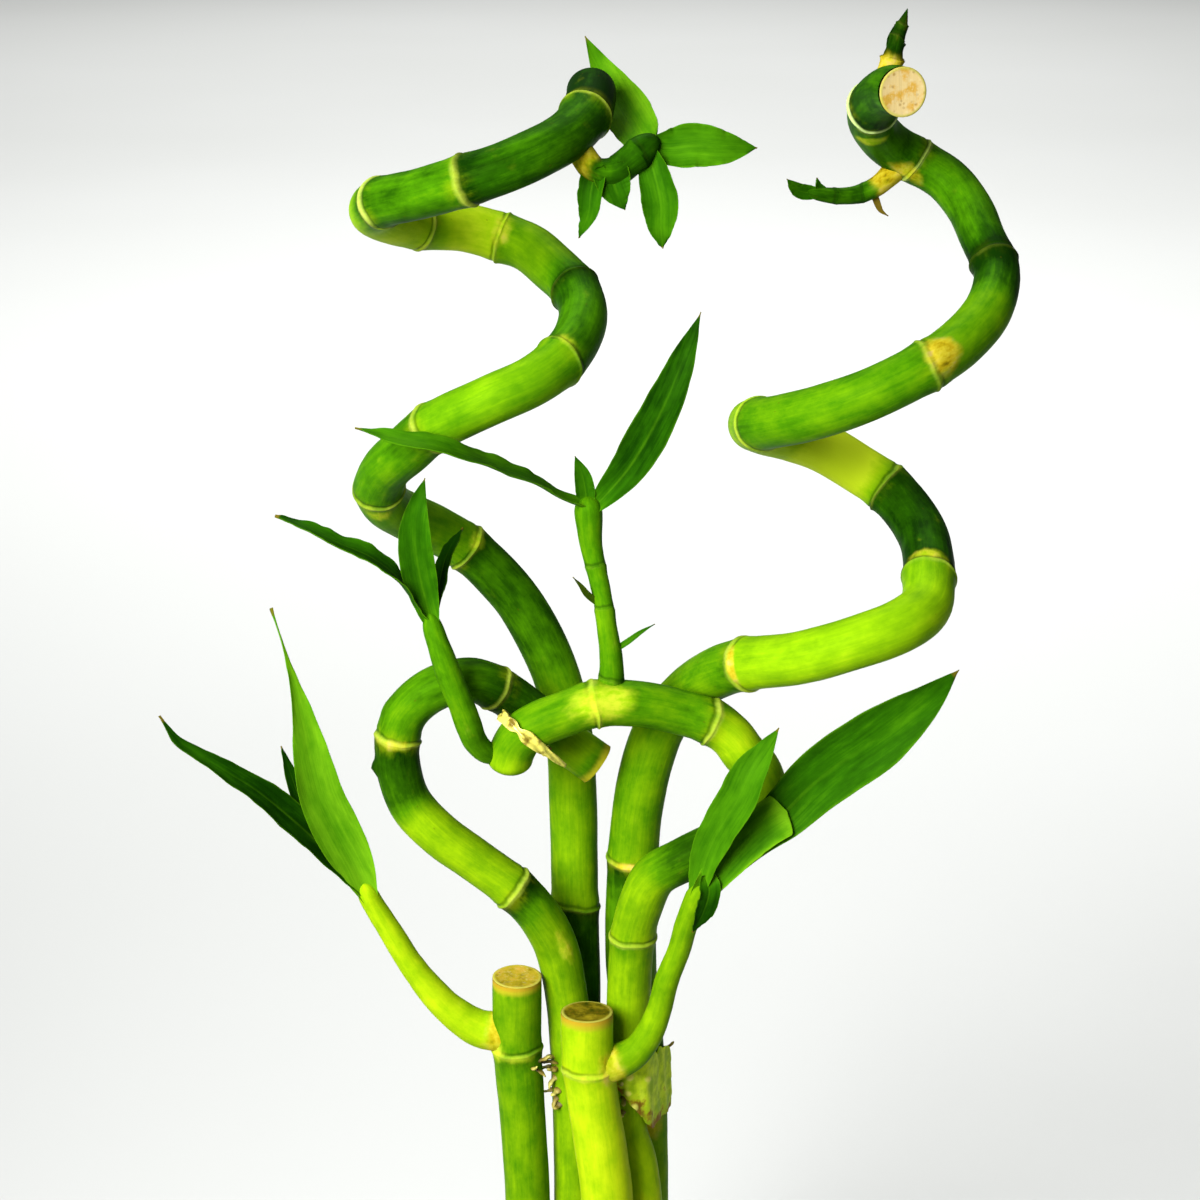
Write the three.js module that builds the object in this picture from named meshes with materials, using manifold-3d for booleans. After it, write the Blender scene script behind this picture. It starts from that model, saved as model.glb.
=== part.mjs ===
// Lucky bamboo in a plain vase: two spiral canes, two canes bent into a heart, two short cut canes,
// leafy side shoots, a gilt tie at the heart's cleft and a bed of pebbles.
// Millimetres, +Z up. The origin is the centre of the vase's foot, and -Y is the front.
import * as THREE from "three";
import { mergeVertices } from "three/addons/utils/BufferGeometryUtils.js";
import Module from "manifold-3d";

const wasm = await Module();
wasm.setup();

// Clearance between pieces that touch
const GAP = 0.3;

// The vase and what fills it
const VASE_HEIGHT = 95;
const VASE_RIM_RADIUS = 43;
const VASE_FOOT_RADIUS = 36;
const VASE_WALL = 4;
const VASE_FLOOR = 6;
const VASE_SIDES = 36;
const FOOT_ROUNDING = 3;
const BED_TOP = 85;
const PEBBLE_COUNT = 34;
const PEBBLE_RADIUS = 6.4;
const PEBBLE_FLATNESS = 0.62;
const PEBBLE_NARROWNESS = 0.87;
const PEBBLE_SPREAD = 0.14;
const PEBBLE_LIFT = 0.32;
const PEBBLE_HEAVE = 1.6;
const PEBBLE_TILT = THREE.MathUtils.degToRad(29);
const PEBBLE_SEED = 7;

// Canes: the scar ring that stands proud at each joint, and how finely a cane is faceted
const CANE_SIDES = 12;
const RING_HEIGHT = 0.45;
const RING_HALF_LENGTH = 0.7;
const JOINT_SWELLING = 0.35;
const JOINT_SWELLING_LENGTH = 4;
const LONGEST_STEP = 26;
const LARGEST_TURN = THREE.MathUtils.degToRad(13);

// Shoots and leaves
const STEM_SIDES = 8;
const STEM_STEP = 6;
const LEAF_THICKNESS = 0.7;
const LEAF_FOLD = 0.28;
const LEAF_STEPS = 9;
const TIP_WIDTH = 0.5;
const FALL = 1.15;

// The gilt tie round the heart's cleft. TIE_PLACE counts the points along the cane's path, TIE_SLOPE is how
// steeply the strip runs down to the right in the front view, and TIE_END is where its tail leaves the cane.
const TIE_PLACE = 20.8;
const TIE_WIDTH = 2.8;
const TIE_THICKNESS = 0.8;
const TIE_SLACK = 0.5;
const TIE_TURNS = 0.84;
const TIE_SLOPE = THREE.MathUtils.degToRad(39);
const TIE_END = THREE.MathUtils.degToRad(-35);
const TIE_STEPS = 18;
const TIE_TAIL = 11;
const TIE_DROP = 3;
const TIE_TAPER = 0.6;

// The front view in which every route is read: its middle, its distance and its tilt above the horizon.
// A route lists points as [across, up, forward]. Across is from the vase's axis and up from the view's
// lower edge, both in the view's plane, and forward is how far the point stands in front of the axis.
const VIEW_DISTANCE = 730;
const VIEW_TILT = THREE.MathUtils.degToRad(17);
const VIEW_MIDDLE_ACROSS = 4.25;
const VIEW_MIDDLE_UP = 150;
const VIEW_MIDDLE = new THREE.Vector3(VIEW_MIDDLE_ACROSS, 0, 288);
const VIEW_UP = new THREE.Vector3(0, Math.sin(VIEW_TILT), Math.cos(VIEW_TILT));
const EYE = new THREE.Vector3(0, -Math.cos(VIEW_TILT), Math.sin(VIEW_TILT))
  .multiplyScalar(VIEW_DISTANCE)
  .add(VIEW_MIDDLE);

function seen([across, up, forward]) {
  const onView = VIEW_MIDDLE.clone();
  onView.x += across - VIEW_MIDDLE_ACROSS;
  onView.addScaledVector(VIEW_UP, up - VIEW_MIDDLE_UP);
  const share = (-forward - EYE.y) / (onView.y - EYE.y);
  return EYE.clone().lerp(onView, share);
}

// Canes. foot is [x, y] on the vase's floor, radii are read evenly from the foot to the top,
// and joints are the numbers of the route's points where a scar ring sits.
const CANES = {
  left_spiral_cane: {
    foot: [-1.5, 13],
    radii: [6.3, 5.9],
    joints: [2, 8, 12, 15, 18, 21, 24, 26, 28.5, 31, 35],
    route: [
      [-1.5, 12.5, -13], [-1.5, 50, -13], [-2, 74, -14.5], [-2.5, 100, -17],
      [-3.5, 116, -19], [-7, 132, -21.5], [-15, 148, -24.5], [-21, 155.5, -26],
      [-29, 163, -26], [-36.5, 167.5, -22], [-44, 171, -13.5], [-49, 174, -5],
      [-51, 178, 2], [-49, 183, 9], [-44, 187.5, 15.5], [-37.5, 193, 21],
      [-23, 200, 27], [-13, 204.5, 25], [-6, 209.5, 19], [-1.5, 215.5, 10],
      [0, 222, 0], [-2, 227.5, -8], [-8, 233.5, -17], [-13.5, 238, -23],
      [-20, 240.5, -26], [-29, 243, -25], [-41, 243.8, -17], [-48, 245.3, -8],
      [-52.3, 247.3, 1], [-50, 249.5, 11], [-41, 251.5, 20], [-29, 255, 26.5],
      [-20, 258, 27.5], [-11, 262, 24.5], [-4, 266, 16.5], [0.5, 271, 6],
      [2, 275.5, -4.5], [2, 278, -14],
    ],
  },
  right_spiral_cane: {
    foot: [15.5, 12.5],
    radii: [7, 6.85, 6.7, 6.5, 6.4, 6.3, 5.65, 5.9],
    joints: [3, 9, 14, 18, 24, 28, 32, 36, 39],
    route: [
      [15, 12.5, -12.5], [14, 37.5, -12], [12, 60, -11.5], [12.5, 85.5, -11],
      [14, 100, -11], [16.5, 111, -11], [20, 119.5, -11], [27, 127.5, -8],
      [34, 132, 0], [41, 134, 8], [54, 135.5, 18], [67, 139, 23],
      [79.3, 143.5, 21], [85.5, 148.3, 13.5], [86.5, 155.5, 4], [86.3, 160.5, -4],
      [85, 166, -12], [81.5, 172, -19], [76, 178, -24], [68.5, 183, -26],
      [61, 187.5, -24], [52.5, 190.8, -18], [46, 192.5, -10], [42.6, 193.7, -1],
      [44.5, 194, 8], [50.5, 195, 17], [59, 197, 24], [72, 201.5, 29],
      [86, 208.5, 27.5], [94, 214, 21], [101, 222, 11], [103.5, 230.5, 0],
      [102.7, 234.5, -4.5], [100, 240.3, -11], [96.6, 248, -20], [91, 255, -26],
      [83, 260, -28], [76.5, 264, -25], [72.5, 269, -17], [72.5, 273.3, -8],
      [75, 276.3, 0], [77.5, 277.5, 7], [80, 277, 13],
    ],
  },
  left_heart_cane: {
    foot: [-2, 0],
    radii: [5.7, 5.7],
    joints: [5, 10, 15],
    route: [
      [-2, 7.5, 0], [-2.5, 30, 0], [-4, 50, 0], [-7, 64, 2],
      [-12, 72.5, 5], [-17.5, 78, 6], [-27, 85, 6], [-36, 91.5, 6],
      [-43, 99, 5], [-46, 107.5, 5], [-46.3, 115.5, 5], [-44.3, 121.5, 5],
      [-40.3, 125.8, 5], [-35, 128.7, 5], [-28, 130, 3.5], [-22, 128, 1],
      [-15, 123.5, -3], [-8, 118, -5], [-2, 113, -5], [3.5, 109, -5],
    ],
  },
  right_heart_cane: {
    foot: [19, -1.5],
    radii: [5.8, 5.8],
    joints: [3, 14, 17],
    route: [
      [13.5, 7.5, 1.5], [10.6, 18, 1], [10.8, 32, 0], [12.5, 66, 3],
      [14.5, 74, 5], [18, 81, 7], [25, 85, 9], [33, 89, 9],
      [40, 93, 8], [44, 99, 7], [45, 104, 7], [43.5, 108, 7],
      [40, 112, 7], [37, 116, 7], [32, 119.5, 7], [24, 122, 7],
      [14, 124, 9], [3, 124, 11], [-4.5, 121.5, 12.2], [-11, 119, 12.4],
      [-15.5, 116, 11.6], [-18, 111.5, 10.8], [-18.7, 107.3, 10],
    ],
  },
  left_short_cane: {
    foot: [-14.5, -4],
    radii: [5.8, 5.8, 5.85, 6.4],
    joints: [3],
    route: [
      [-13.9, 2.5, 4], [-14.5, 12.5, 4], [-15.4, 25, 4], [-16.4, 38, 4.5],
      [-16.5, 47.5, 5.5], [-16.5, 55.8, 6.2],
    ],
  },
  front_short_cane: {
    foot: [6, -14],
    radii: [6.9, 6.6],
    joints: [3],
    route: [
      [6, 0, 14], [4.5, 12.5, 14], [2.5, 25, 14], [1.5, 33, 14],
      [1, 40, 14], [1, 47, 14],
    ],
  },
};

// Leafy shoots. on is the cane that a shoot grows from, and the stem starts inside it. A leaf's width is its
// greatest, widest is where along the leaf that is, base is its width at the stem as a share, face is the
// way its upper side looks, and turn is how far the blade twists, in degrees, by its tip. A higher rise
// keeps the blade narrow for longer at its base, and a higher point draws its tip out.
const TO_FRONT = [0, -1, 0.3];
const SHOOTS = {
  left_shoot: {
    on: "left_short_cane",
    radii: [5.4, 4.3, 3.4, 3, 2.7],
    stem: [
      [-19.5, 42, 4.5], [-26, 43, 4], [-33, 47.5, 4], [-37.5, 52, 4],
      [-43, 59, 4], [-48, 67, 4], [-53, 75, 4], [-55, 79, 4.5],
    ],
    leaves: [
      { width: 12.5, widest: 0.28, base: 0.4, point: 2.4, face: [0.2, -1, 0.1], turn: 40, route: [
        [-53, 75, 4], [-57.3, 84.5, 5], [-61.6, 92.5, 6], [-65.6, 101, 7], [-68, 110, 7],
        [-69.6, 118, 6], [-71.2, 125, 4], [-74.2, 136, 0], [-78, 148, -4]] },
      { width: 9, widest: 0.3, base: 0.5, face: [0.4, -0.8, 0.8], turn: 10, route: [
        [-53.2, 75.4, 3.5], [-59, 82, 4.5], [-68, 90.8, 8], [-74.9, 96.9, 11], [-81.6, 102.2, 14],
        [-88.6, 106.6, 16], [-95.6, 110.9, 17], [-101.5, 114.8, 18], [-106, 121, 18]] },
      { width: 4.5, widest: 0.4, base: 0.9, face: [0.6, -1, 0], turn: 0, route: [
        [-64, 92, 5], [-70.5, 100, 2.5], [-73, 106, 0.5], [-75.5, 113.5, -2]] },
    ],
  },
  heart_shoot: {
    on: "right_heart_cane",
    radii: [2.6, 3.3, 3.2, 2.4],
    stem: [
      [-19.3, 111.5, 10], [-23.8, 111.8, 12], [-26.8, 114.5, 14], [-28.5, 118.5, 15.5],
      [-30.5, 124, 16.5], [-33, 130, 17], [-35.5, 137, 17], [-37.5, 143, 16], [-38.5, 147, 15],
    ],
    leaves: [
      { width: 7.5, widest: 0.5, base: 0.4, face: [0.1, -0.25, 1], turn: 0, route: [
        [-38, 144, 15.5], [-43, 151, 17], [-47, 156, 19], [-53, 160.5, 20], [-61, 164, 20],
        [-69.5, 168.3, 19], [-77, 171, 17]] },
      { width: 9, widest: 0.45, base: 0.5, face: TO_FRONT, turn: 0, route: [
        [-37.7, 144, 15.5], [-40, 152.5, 16.5], [-41.5, 160, 18], [-42, 167.5, 19], [-41, 175, 18],
        [-39.5, 180.5, 16]] },
      { width: 5, widest: 0.5, base: 0.5, face: [-0.6, -0.8, 0.2], turn: 0, route: [
        [-37.8, 144, 15.5], [-36, 153, 12.5], [-34, 161, 8], [-30, 168, 3]] },
    ],
  },
  centre_shoot: {
    on: "right_heart_cane",
    radii: [3.4, 2.8, 2.3, 2.7, 3.9],
    stem: [
      [5.5, 125, 9], [7, 130, 9.5], [7, 136, 10], [6, 143, 10], [5, 150, 9],
      [3.5, 157, 8], [2, 164, 7], [1.5, 170, 7], [1, 176, 7],
    ],
    leaves: [
      { width: 7.5, widest: 0.62, base: 0.5, face: [0.1, -0.45, 1], turn: 0, route: [
        [1, 173, 7.5], [-6, 176, 12], [-13, 180, 18], [-21, 183, 24], [-29, 186, 30],
        [-37, 188.5, 33], [-45, 190, 34], [-57, 193, 31]] },
      { width: 10.5, widest: 0.42, base: 0.35, face: [-0.3, -1, 0.2], turn: 0, route: [
        [1.5, 172, 7], [5.5, 176, 7.5], [11.5, 183, 9], [17, 192, 11], [21, 200, 12],
        [24.5, 208.5, 11], [29.5, 222, 7]] },
      { width: 5, widest: 0.3, base: 0.9, face: TO_FRONT, turn: 0, route: [
        [1, 174, 7], [0, 180.5, 7], [-2, 186, 6]] },
      { width: 1.8, widest: 0.3, base: 0.9, face: TO_FRONT, turn: 0, route: [
        [4, 149, 9], [1, 151.5, 11], [-0.5, 153.5, 12], [-2.5, 155.7, 12.5]] },
      { width: 1.6, widest: 0.3, base: 0.9, face: TO_FRONT, turn: 0, route: [
        [7, 137, 10], [11, 139.5, 10.5], [14.5, 142, 10.5], [18, 144, 10]] },
    ],
  },
  right_shoot: {
    on: "front_short_cane",
    radii: [5.4, 3.8, 3.2, 3, 2.9, 3],
    stem: [
      [4, 34, 14], [8, 34.5, 14], [13, 37, 14], [16.5, 41.5, 14], [19, 47.5, 14],
      [21, 55, 15], [24, 62.5, 16], [26, 69.5, 18], [28.5, 76, 20], [30, 79, 20.5],
    ],
    leaves: [
      { width: 16.5, widest: 0.6, base: 0.36, rise: 2, face: [0.1, -1, 0.35], turn: 0, route: [
        [28, 74.5, 19.5], [35.5, 83, 20], [43, 90.5, 19], [50.5, 97, 18], [57, 103.5, 18],
        [64, 109, 19], [71.5, 114, 20], [79, 119.5, 20], [86, 125, 19], [94, 132.5, 16]] },
      { width: 10.5, widest: 0.58, base: 0.4, face: [-0.5, -1, 0.1], turn: 0, route: [
        [28.3, 75, 20], [31, 86, 22.5], [35, 94, 24.5], [39, 100.5, 25.5], [42, 107, 25],
        [45.5, 112.5, 23], [49, 118, 20]] },
      { width: 6, widest: 0.35, base: 0.8, face: [0.3, -1, -0.2], turn: 0, route: [
        [31, 81, 21.5], [31.5, 77, 23.5], [30, 72, 24.5], [27.3, 67, 24.5]] },
    ],
  },
  left_spiral_shoot: {
    on: "left_spiral_cane",
    radii: [3, 3.2, 3.7, 3.7, 2.9],
    stem: [
      [-1, 262.5, 16], [3, 257.5, 16], [7.5, 257, 15.5], [12, 260, 14.5],
      [16, 263.5, 13], [19, 265.5, 12],
    ],
    leaves: [
      { width: 12, widest: 0.4, base: 0.75, face: [-0.2, -1, 0.4], turn: 0, route: [
        [16.5, 262.5, 12.5], [14.5, 266.5, 3], [11.5, 271.5, -9], [8.3, 276.8, -19], [5, 282.5, -23],
        [0.5, 291, -24]] },
      { width: 10.8, widest: 0.36, base: 0.5, face: [0.1, -1, 0.3], turn: 0, route: [
        [17, 263.5, 12.5], [21.5, 263, 12.5], [28, 263.5, 13.5], [35, 263, 14], [43.5, 263, 12]] },
      { width: 9, widest: 0.5, base: 0.5, face: [-0.2, -1, 0.2], turn: 0, route: [
        [16, 263, 13], [18, 256, 15.5], [19.5, 249, 16.5], [19.5, 243, 16], [20, 238, 14]] },
      { width: 6.5, widest: 0.2, base: 0.95, face: [-0.3, -1, 0.2], turn: 0, route: [
        [3.5, 258.5, 16.5], [2, 252, 18.5], [1.5, 247, 19], [-1, 240.5, 17]] },
      { width: 9, widest: 0.2, base: 0.95, face: TO_FRONT, turn: 0, route: [
        [6.5, 258.5, 16.5], [8, 253, 18], [10.5, 247.5, 18]] },
    ],
  },
  right_spiral_shoot: {
    on: "right_spiral_cane",
    radii: [3, 2.4, 2, 1.8],
    stem: [
      [78, 257.5, -27], [73.5, 253.5, -25], [69, 251.5, -24], [64, 251, -22],
      [59, 251.5, -20], [56, 252, -19.5],
    ],
    leaves: [
      { width: 4, widest: 0.4, base: 0.9, face: TO_FRONT, turn: 0, route: [
        [58, 251.7, -20], [54, 252.3, -18.5], [51, 255.2, -17]] },
      { width: 2.6, widest: 0.3, base: 0.9, face: [0.5, -1, 0.2], turn: 0, route: [
        [61, 251.5, -20.5], [59, 253, -20], [58.5, 255.5, -19]] },
      { width: 1.8, widest: 0.3, base: 0.9, face: TO_FRONT, turn: 0, route: [
        [72.5, 252.5, -25], [73.5, 249.3, -25.5], [74.5, 247.3, -26], [76.3, 246, -26]] },
    ],
  },
  right_spiral_bud: {
    on: "right_spiral_cane",
    radii: [3, 2.7, 1.9, 1.5, 0.4],
    stem: [[75, 278.5, -3], [77, 284, -4], [78.2, 289, -5], [79.5, 293, -6], [81.2, 298, -7]],
    leaves: [
      { width: 3.4, widest: 0.3, base: 0.9, face: TO_FRONT, turn: 0, route: [
        [77.5, 286, -4.5], [77.5, 290, -7], [78, 294, -7.5]] },
    ],
  },
};

// Colours of the finished object
const COLOURS = {
  cane: 0x7fc41a,
  leaf: 0x2f8a12,
  vase: 0xf1efe8,
  pebbles: 0xa39a8a,
  tie: 0xd9a92b,
};

// Solids

// A closed mesh over a row of rings of points, with flat ends. From the ring's point turnedFrom on, quads are
// split the other way, so that a blade's two faces are split alike.
function loft(rings, turnedFrom = Infinity) {
  const sides = rings[0].length;
  const points = rings.flat();
  const index = [];
  for (let i = 0; i + 1 < rings.length; i++) {
    for (let j = 0; j < sides; j++) {
      const next = (j + 1) % sides;
      const [a, b] = [i * sides + j, i * sides + next];
      const [c, d] = [b + sides, a + sides];
      index.push(...(j < turnedFrom ? [a, b, c, a, c, d] : [a, b, d, b, c, d]));
    }
  }
  for (const [ring, facesBack] of [[0, true], [rings.length - 1, false]]) {
    const middle = rings[ring].reduce((sum, p) => sum.add(p), new THREE.Vector3()).divideScalar(sides);
    points.push(middle);
    for (let j = 0; j < sides; j++) {
      const edge = [ring * sides + j, ring * sides + ((j + 1) % sides)];
      index.push(points.length - 1, ...(facesBack ? edge.reverse() : edge));
    }
  }
  return new THREE.BufferGeometry().setFromPoints(points).setIndex(index);
}

function solidOf(geometry) {
  const bare = geometry.clone();
  bare.deleteAttribute("normal");
  bare.deleteAttribute("uv");
  const merged = mergeVertices(bare, 1e-4);
  return new wasm.Manifold(
    new wasm.Mesh({
      numProp: 3,
      vertProperties: merged.attributes.position.array,
      triVerts: new Uint32Array(merged.index.array),
    }),
  );
}

function geometryOf(solid) {
  const { numProp, vertProperties, triVerts } = solid.getMesh();
  if (numProp !== 3) throw new Error("a solid carries more than positions");
  return new THREE.BufferGeometry()
    .setAttribute("position", new THREE.BufferAttribute(vertProperties, 3))
    .setIndex(new THREE.BufferAttribute(triVerts, 1));
}

// The largest body of a solid: what a cut leaves behind as scraps is dropped.
function largestBody(solid) {
  return solid.decompose().reduce((best, body) => (body.volume() > best.volume() ? body : best));
}

// Reads a short list of values as a smooth run over 0 to 1.
function along(values, t) {
  const place = THREE.MathUtils.clamp(t, 0, 1) * (values.length - 1);
  const before = Math.min(Math.floor(place), values.length - 2);
  return THREE.MathUtils.lerp(values[before], values[before + 1], place - before);
}

// Rings round a path at the given lengths along it, without twist.
function ringsRound(path, stations, sides, radiusAt) {
  const length = path.getLength();
  let side = new THREE.Vector3(1, 0, 0);
  return stations.map((s) => {
    const centre = path.getPointAt(s / length);
    const tangent = path.getTangentAt(s / length);
    side = side.clone().addScaledVector(tangent, -side.dot(tangent)).normalize();
    const up = new THREE.Vector3().crossVectors(tangent, side);
    return Array.from({ length: sides }, (_, k) => {
      const angle = (2 * Math.PI * k) / sides;
      const radius = radiusAt(s);
      return centre
        .clone()
        .addScaledVector(side, radius * Math.cos(angle))
        .addScaledVector(up, radius * Math.sin(angle));
    });
  });
}

// Canes

function canePath({ foot, route }) {
  const base = new THREE.Vector3(foot[0], foot[1], VASE_FLOOR + GAP);
  const path = new THREE.CatmullRomCurve3([base, ...route.map(seen)], false, "centripetal");
  path.arcLengthDivisions = route.length * 24;
  return path;
}

// Lengths along a cane of its scar rings: route point n is the path's point n + 1.
function jointLengths(cane, path) {
  const lengths = path.getLengths();
  const perPoint = (lengths.length - 1) / cane.route.length;
  return cane.joints.map((n) => lengths[(n + 1) * perPoint]);
}

// Lengths at which a cane gets a ring of points: at its joints, and as often as its bends ask.
function caneStations(path, joints) {
  const length = path.getLength();
  const stations = new Set([0, length]);
  for (const joint of joints) {
    for (const offset of [-JOINT_SWELLING_LENGTH, -RING_HALF_LENGTH, 0, RING_HALF_LENGTH]) {
      stations.add(joint + offset);
    }
  }
  const fixed = [...stations].sort((a, b) => a - b);
  let last = 0;
  let lastTangent = path.getTangentAt(0);
  for (let s = 1; s < length - 2; s++) {
    const tangent = path.getTangentAt(s / length);
    const near = fixed.find((f) => Math.abs(f - s) < 1.5);
    if (near !== undefined) {
      [last, lastTangent] = [s, tangent];
    } else if (tangent.angleTo(lastTangent) > LARGEST_TURN || s - last > LONGEST_STEP) {
      stations.add(s);
      [last, lastTangent] = [s, tangent];
    }
  }
  return [...stations].sort((a, b) => a - b);
}

// A cane, or with a clearance the room that it needs.
function caneSolid(cane, clearance = 0) {
  const path = canePath(cane);
  const length = path.getLength();
  const joints = jointLengths(cane, path);
  const radiusAt = (s) => {
    let radius = along(cane.radii, s / length) + clearance;
    for (const joint of joints) {
      const off = Math.abs(s - joint);
      if (off < RING_HALF_LENGTH / 2) radius += RING_HEIGHT;
      if (off < JOINT_SWELLING_LENGTH) radius += JOINT_SWELLING * (1 - off / JOINT_SWELLING_LENGTH);
    }
    return radius;
  };
  return solidOf(loft(ringsRound(path, caneStations(path, joints), CANE_SIDES, radiusAt)));
}

// Shoots

function stemSolid({ stem, radii }) {
  const path = new THREE.CatmullRomCurve3(stem.map(seen), false, "centripetal");
  const length = path.getLength();
  const steps = Math.ceil(length / STEM_STEP);
  const stations = Array.from({ length: steps + 1 }, (_, i) => (length * i) / steps);
  return solidOf(loft(ringsRound(path, stations, STEM_SIDES, (s) => along(radii, s / length))));
}

// A leaf's half width at share t of its length: it swells from its base, then falls away to its tip.
function halfWidth({ width, widest, base, rise = 1, point = 1 }, t) {
  const share =
    t < widest
      ? base + (1 - base) * Math.sin((Math.PI / 2) * (t / widest)) ** rise
      : Math.cos((Math.PI / 2) * ((t - widest) / (1 - widest)) ** FALL) ** point;
  return Math.max((width / 2) * share, TIP_WIDTH / 2);
}

// A blade: its edges stand up a little on each side of the rib, and its two faces are parallel.
function leafSolid(leaf) {
  const path = new THREE.CatmullRomCurve3(leaf.route.map(seen), false, "centripetal");
  const face = new THREE.Vector3(...leaf.face).normalize();
  const rings = [];
  for (let i = 0; i <= LEAF_STEPS; i++) {
    const t = i / LEAF_STEPS;
    const centre = path.getPointAt(t);
    const tangent = path.getTangentAt(t);
    const turned = face.clone().applyAxisAngle(tangent, THREE.MathUtils.degToRad(leaf.turn * t * t));
    const across = new THREE.Vector3().crossVectors(turned, tangent).normalize();
    const normal = new THREE.Vector3().crossVectors(tangent, across);
    const half = halfWidth(leaf, t);
    const point = (share, lift) =>
      centre
        .clone()
        .addScaledVector(across, share * half)
        .addScaledVector(normal, lift + LEAF_FOLD * half * Math.abs(share));
    const below = [-1, 0, 1].map((share) => point(share, -LEAF_THICKNESS / 2));
    const above = [1, 0, -1].map((share) => point(share, LEAF_THICKNESS / 2));
    rings.push([...below, ...above]);
  }
  return solidOf(loft(rings, 3));
}

// A shoot is its stem and its leaves in one, cut to fit the cane that it grows from.
function shootSolid(shoot) {
  const whole = shoot.leaves.reduce((sum, leaf) => sum.add(leafSolid(leaf)), stemSolid(shoot));
  return largestBody(whole.subtract(caneSolid(CANES[shoot.on], GAP)));
}

// The tie: a flat strip wound round the end of the heart's right cane, its tail hanging to the right.
function tieSolid() {
  const cane = CANES.right_heart_cane;
  const path = canePath(cane);
  const lengths = path.getLengths();
  const middle = lengths[Math.round((TIE_PLACE * (lengths.length - 1)) / cane.route.length)];
  const centre = path.getPointAt(middle / path.getLength());
  const reach = cane.radii[1] + JOINT_SWELLING + GAP + TIE_SLACK + TIE_THICKNESS / 2;
  const toViewer = EYE.clone().sub(VIEW_MIDDLE).normalize();
  const lengthwise = VIEW_UP.clone().negate().applyAxisAngle(toViewer, -TIE_SLOPE);
  const rings = [];
  const addRing = (middlePoint, out, width) => {
    const corner = (a, b) =>
      middlePoint
        .clone()
        .addScaledVector(out, (a * TIE_THICKNESS) / 2)
        .addScaledVector(lengthwise, (b * width) / 2);
    rings.push([corner(-1, -1), corner(1, -1), corner(1, 1), corner(-1, 1)]);
  };
  let out;
  for (let i = 0; i <= TIE_STEPS; i++) {
    const angle = TIE_END + 2 * Math.PI * TIE_TURNS * (1 - i / TIE_STEPS);
    out = toViewer.clone().applyAxisAngle(lengthwise, angle);
    addRing(centre.clone().addScaledVector(out, reach), out, TIE_WIDTH);
  }
  const end = centre.clone().addScaledVector(out, reach);
  const onward = new THREE.Vector3().crossVectors(out, lengthwise);
  for (const share of [0.35, 0.7, 1]) {
    const place = end.clone().addScaledVector(onward, TIE_TAIL * share);
    place.addScaledVector(toViewer, -TIE_DROP * share ** 2);
    addRing(place, out, TIE_WIDTH * (1 - TIE_TAPER * share));
  }
  return solidOf(loft(rings));
}

// Vase and bed

function innerRadius(height) {
  return THREE.MathUtils.lerp(VASE_FOOT_RADIUS, VASE_RIM_RADIUS, height / VASE_HEIGHT) - VASE_WALL;
}

function vaseGeometry() {
  const rim = VASE_WALL / 2;
  const profile = new THREE.Path();
  profile.moveTo(0, 0);
  profile.lineTo(VASE_FOOT_RADIUS - FOOT_ROUNDING, 0);
  profile.quadraticCurveTo(VASE_FOOT_RADIUS, 0, VASE_FOOT_RADIUS + 0.2, FOOT_ROUNDING);
  profile.lineTo(VASE_RIM_RADIUS, VASE_HEIGHT - rim);
  profile.absarc(VASE_RIM_RADIUS - rim, VASE_HEIGHT - rim, rim, 0, Math.PI, false);
  profile.lineTo(innerRadius(VASE_FLOOR), VASE_FLOOR);
  profile.lineTo(0, VASE_FLOOR);
  const outline = profile.getPoints(3);
  const standing = new THREE.LatheGeometry(outline, VASE_SIDES);
  return standing.rotateX(Math.PI / 2);
}

// Even random numbers from a seed
function randomFrom(seed) {
  let state = seed;
  return () => {
    state = (state * 16807) % 2147483647;
    return state / 2147483647;
  };
}

// Pebbles laid over the bed in a sunflower's order, each a flattened ball lying its own way.
function pebbleSolids() {
  const random = randomFrom(PEBBLE_SEED);
  const reach = innerRadius(BED_TOP) - GAP - PEBBLE_RADIUS * 1.02;
  return Array.from({ length: PEBBLE_COUNT }, (_, i) => {
    const distance = reach * Math.sqrt((i + 0.5) / PEBBLE_COUNT);
    const angle = i * Math.PI * (3 - Math.sqrt(5));
    const length = PEBBLE_RADIUS * (1 + PEBBLE_SPREAD * (2 * random() - 1));
    const pebble = new THREE.IcosahedronGeometry(1, 1);
    pebble.rotateX(random() * Math.PI);
    pebble.scale(length, length * PEBBLE_NARROWNESS, length * PEBBLE_FLATNESS);
    pebble.rotateX((random() - 0.5) * PEBBLE_TILT);
    pebble.rotateZ(random() * Math.PI);
    const lift = PEBBLE_LIFT + (random() - 0.5) * PEBBLE_HEAVE;
    pebble.translate(distance * Math.cos(angle), distance * Math.sin(angle), BED_TOP + lift);
    return solidOf(pebble);
  });
}

function bedSolid() {
  const [low, high] = [VASE_FLOOR + GAP, BED_TOP];
  const outline = [
    new THREE.Vector2(0, low),
    new THREE.Vector2(innerRadius(low) - GAP, low),
    new THREE.Vector2(innerRadius(high) - GAP, high),
    new THREE.Vector2(0, high),
  ];
  const plug = solidOf(new THREE.LatheGeometry(outline, VASE_SIDES).rotateX(Math.PI / 2));
  const filled = pebbleSolids().reduce((sum, pebble) => sum.add(pebble), plug);
  const holed = Object.values(CANES).reduce((bed, cane) => bed.subtract(caneSolid(cane, GAP)), filled);
  return largestBody(holed);
}

// The object

const plant = new THREE.Group();

function add(name, geometry, color, roughness, metalness = 0) {
  const mesh = new THREE.Mesh(geometry, new THREE.MeshStandardMaterial({ color, roughness, metalness }));
  mesh.name = name;
  plant.add(mesh);
}

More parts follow.
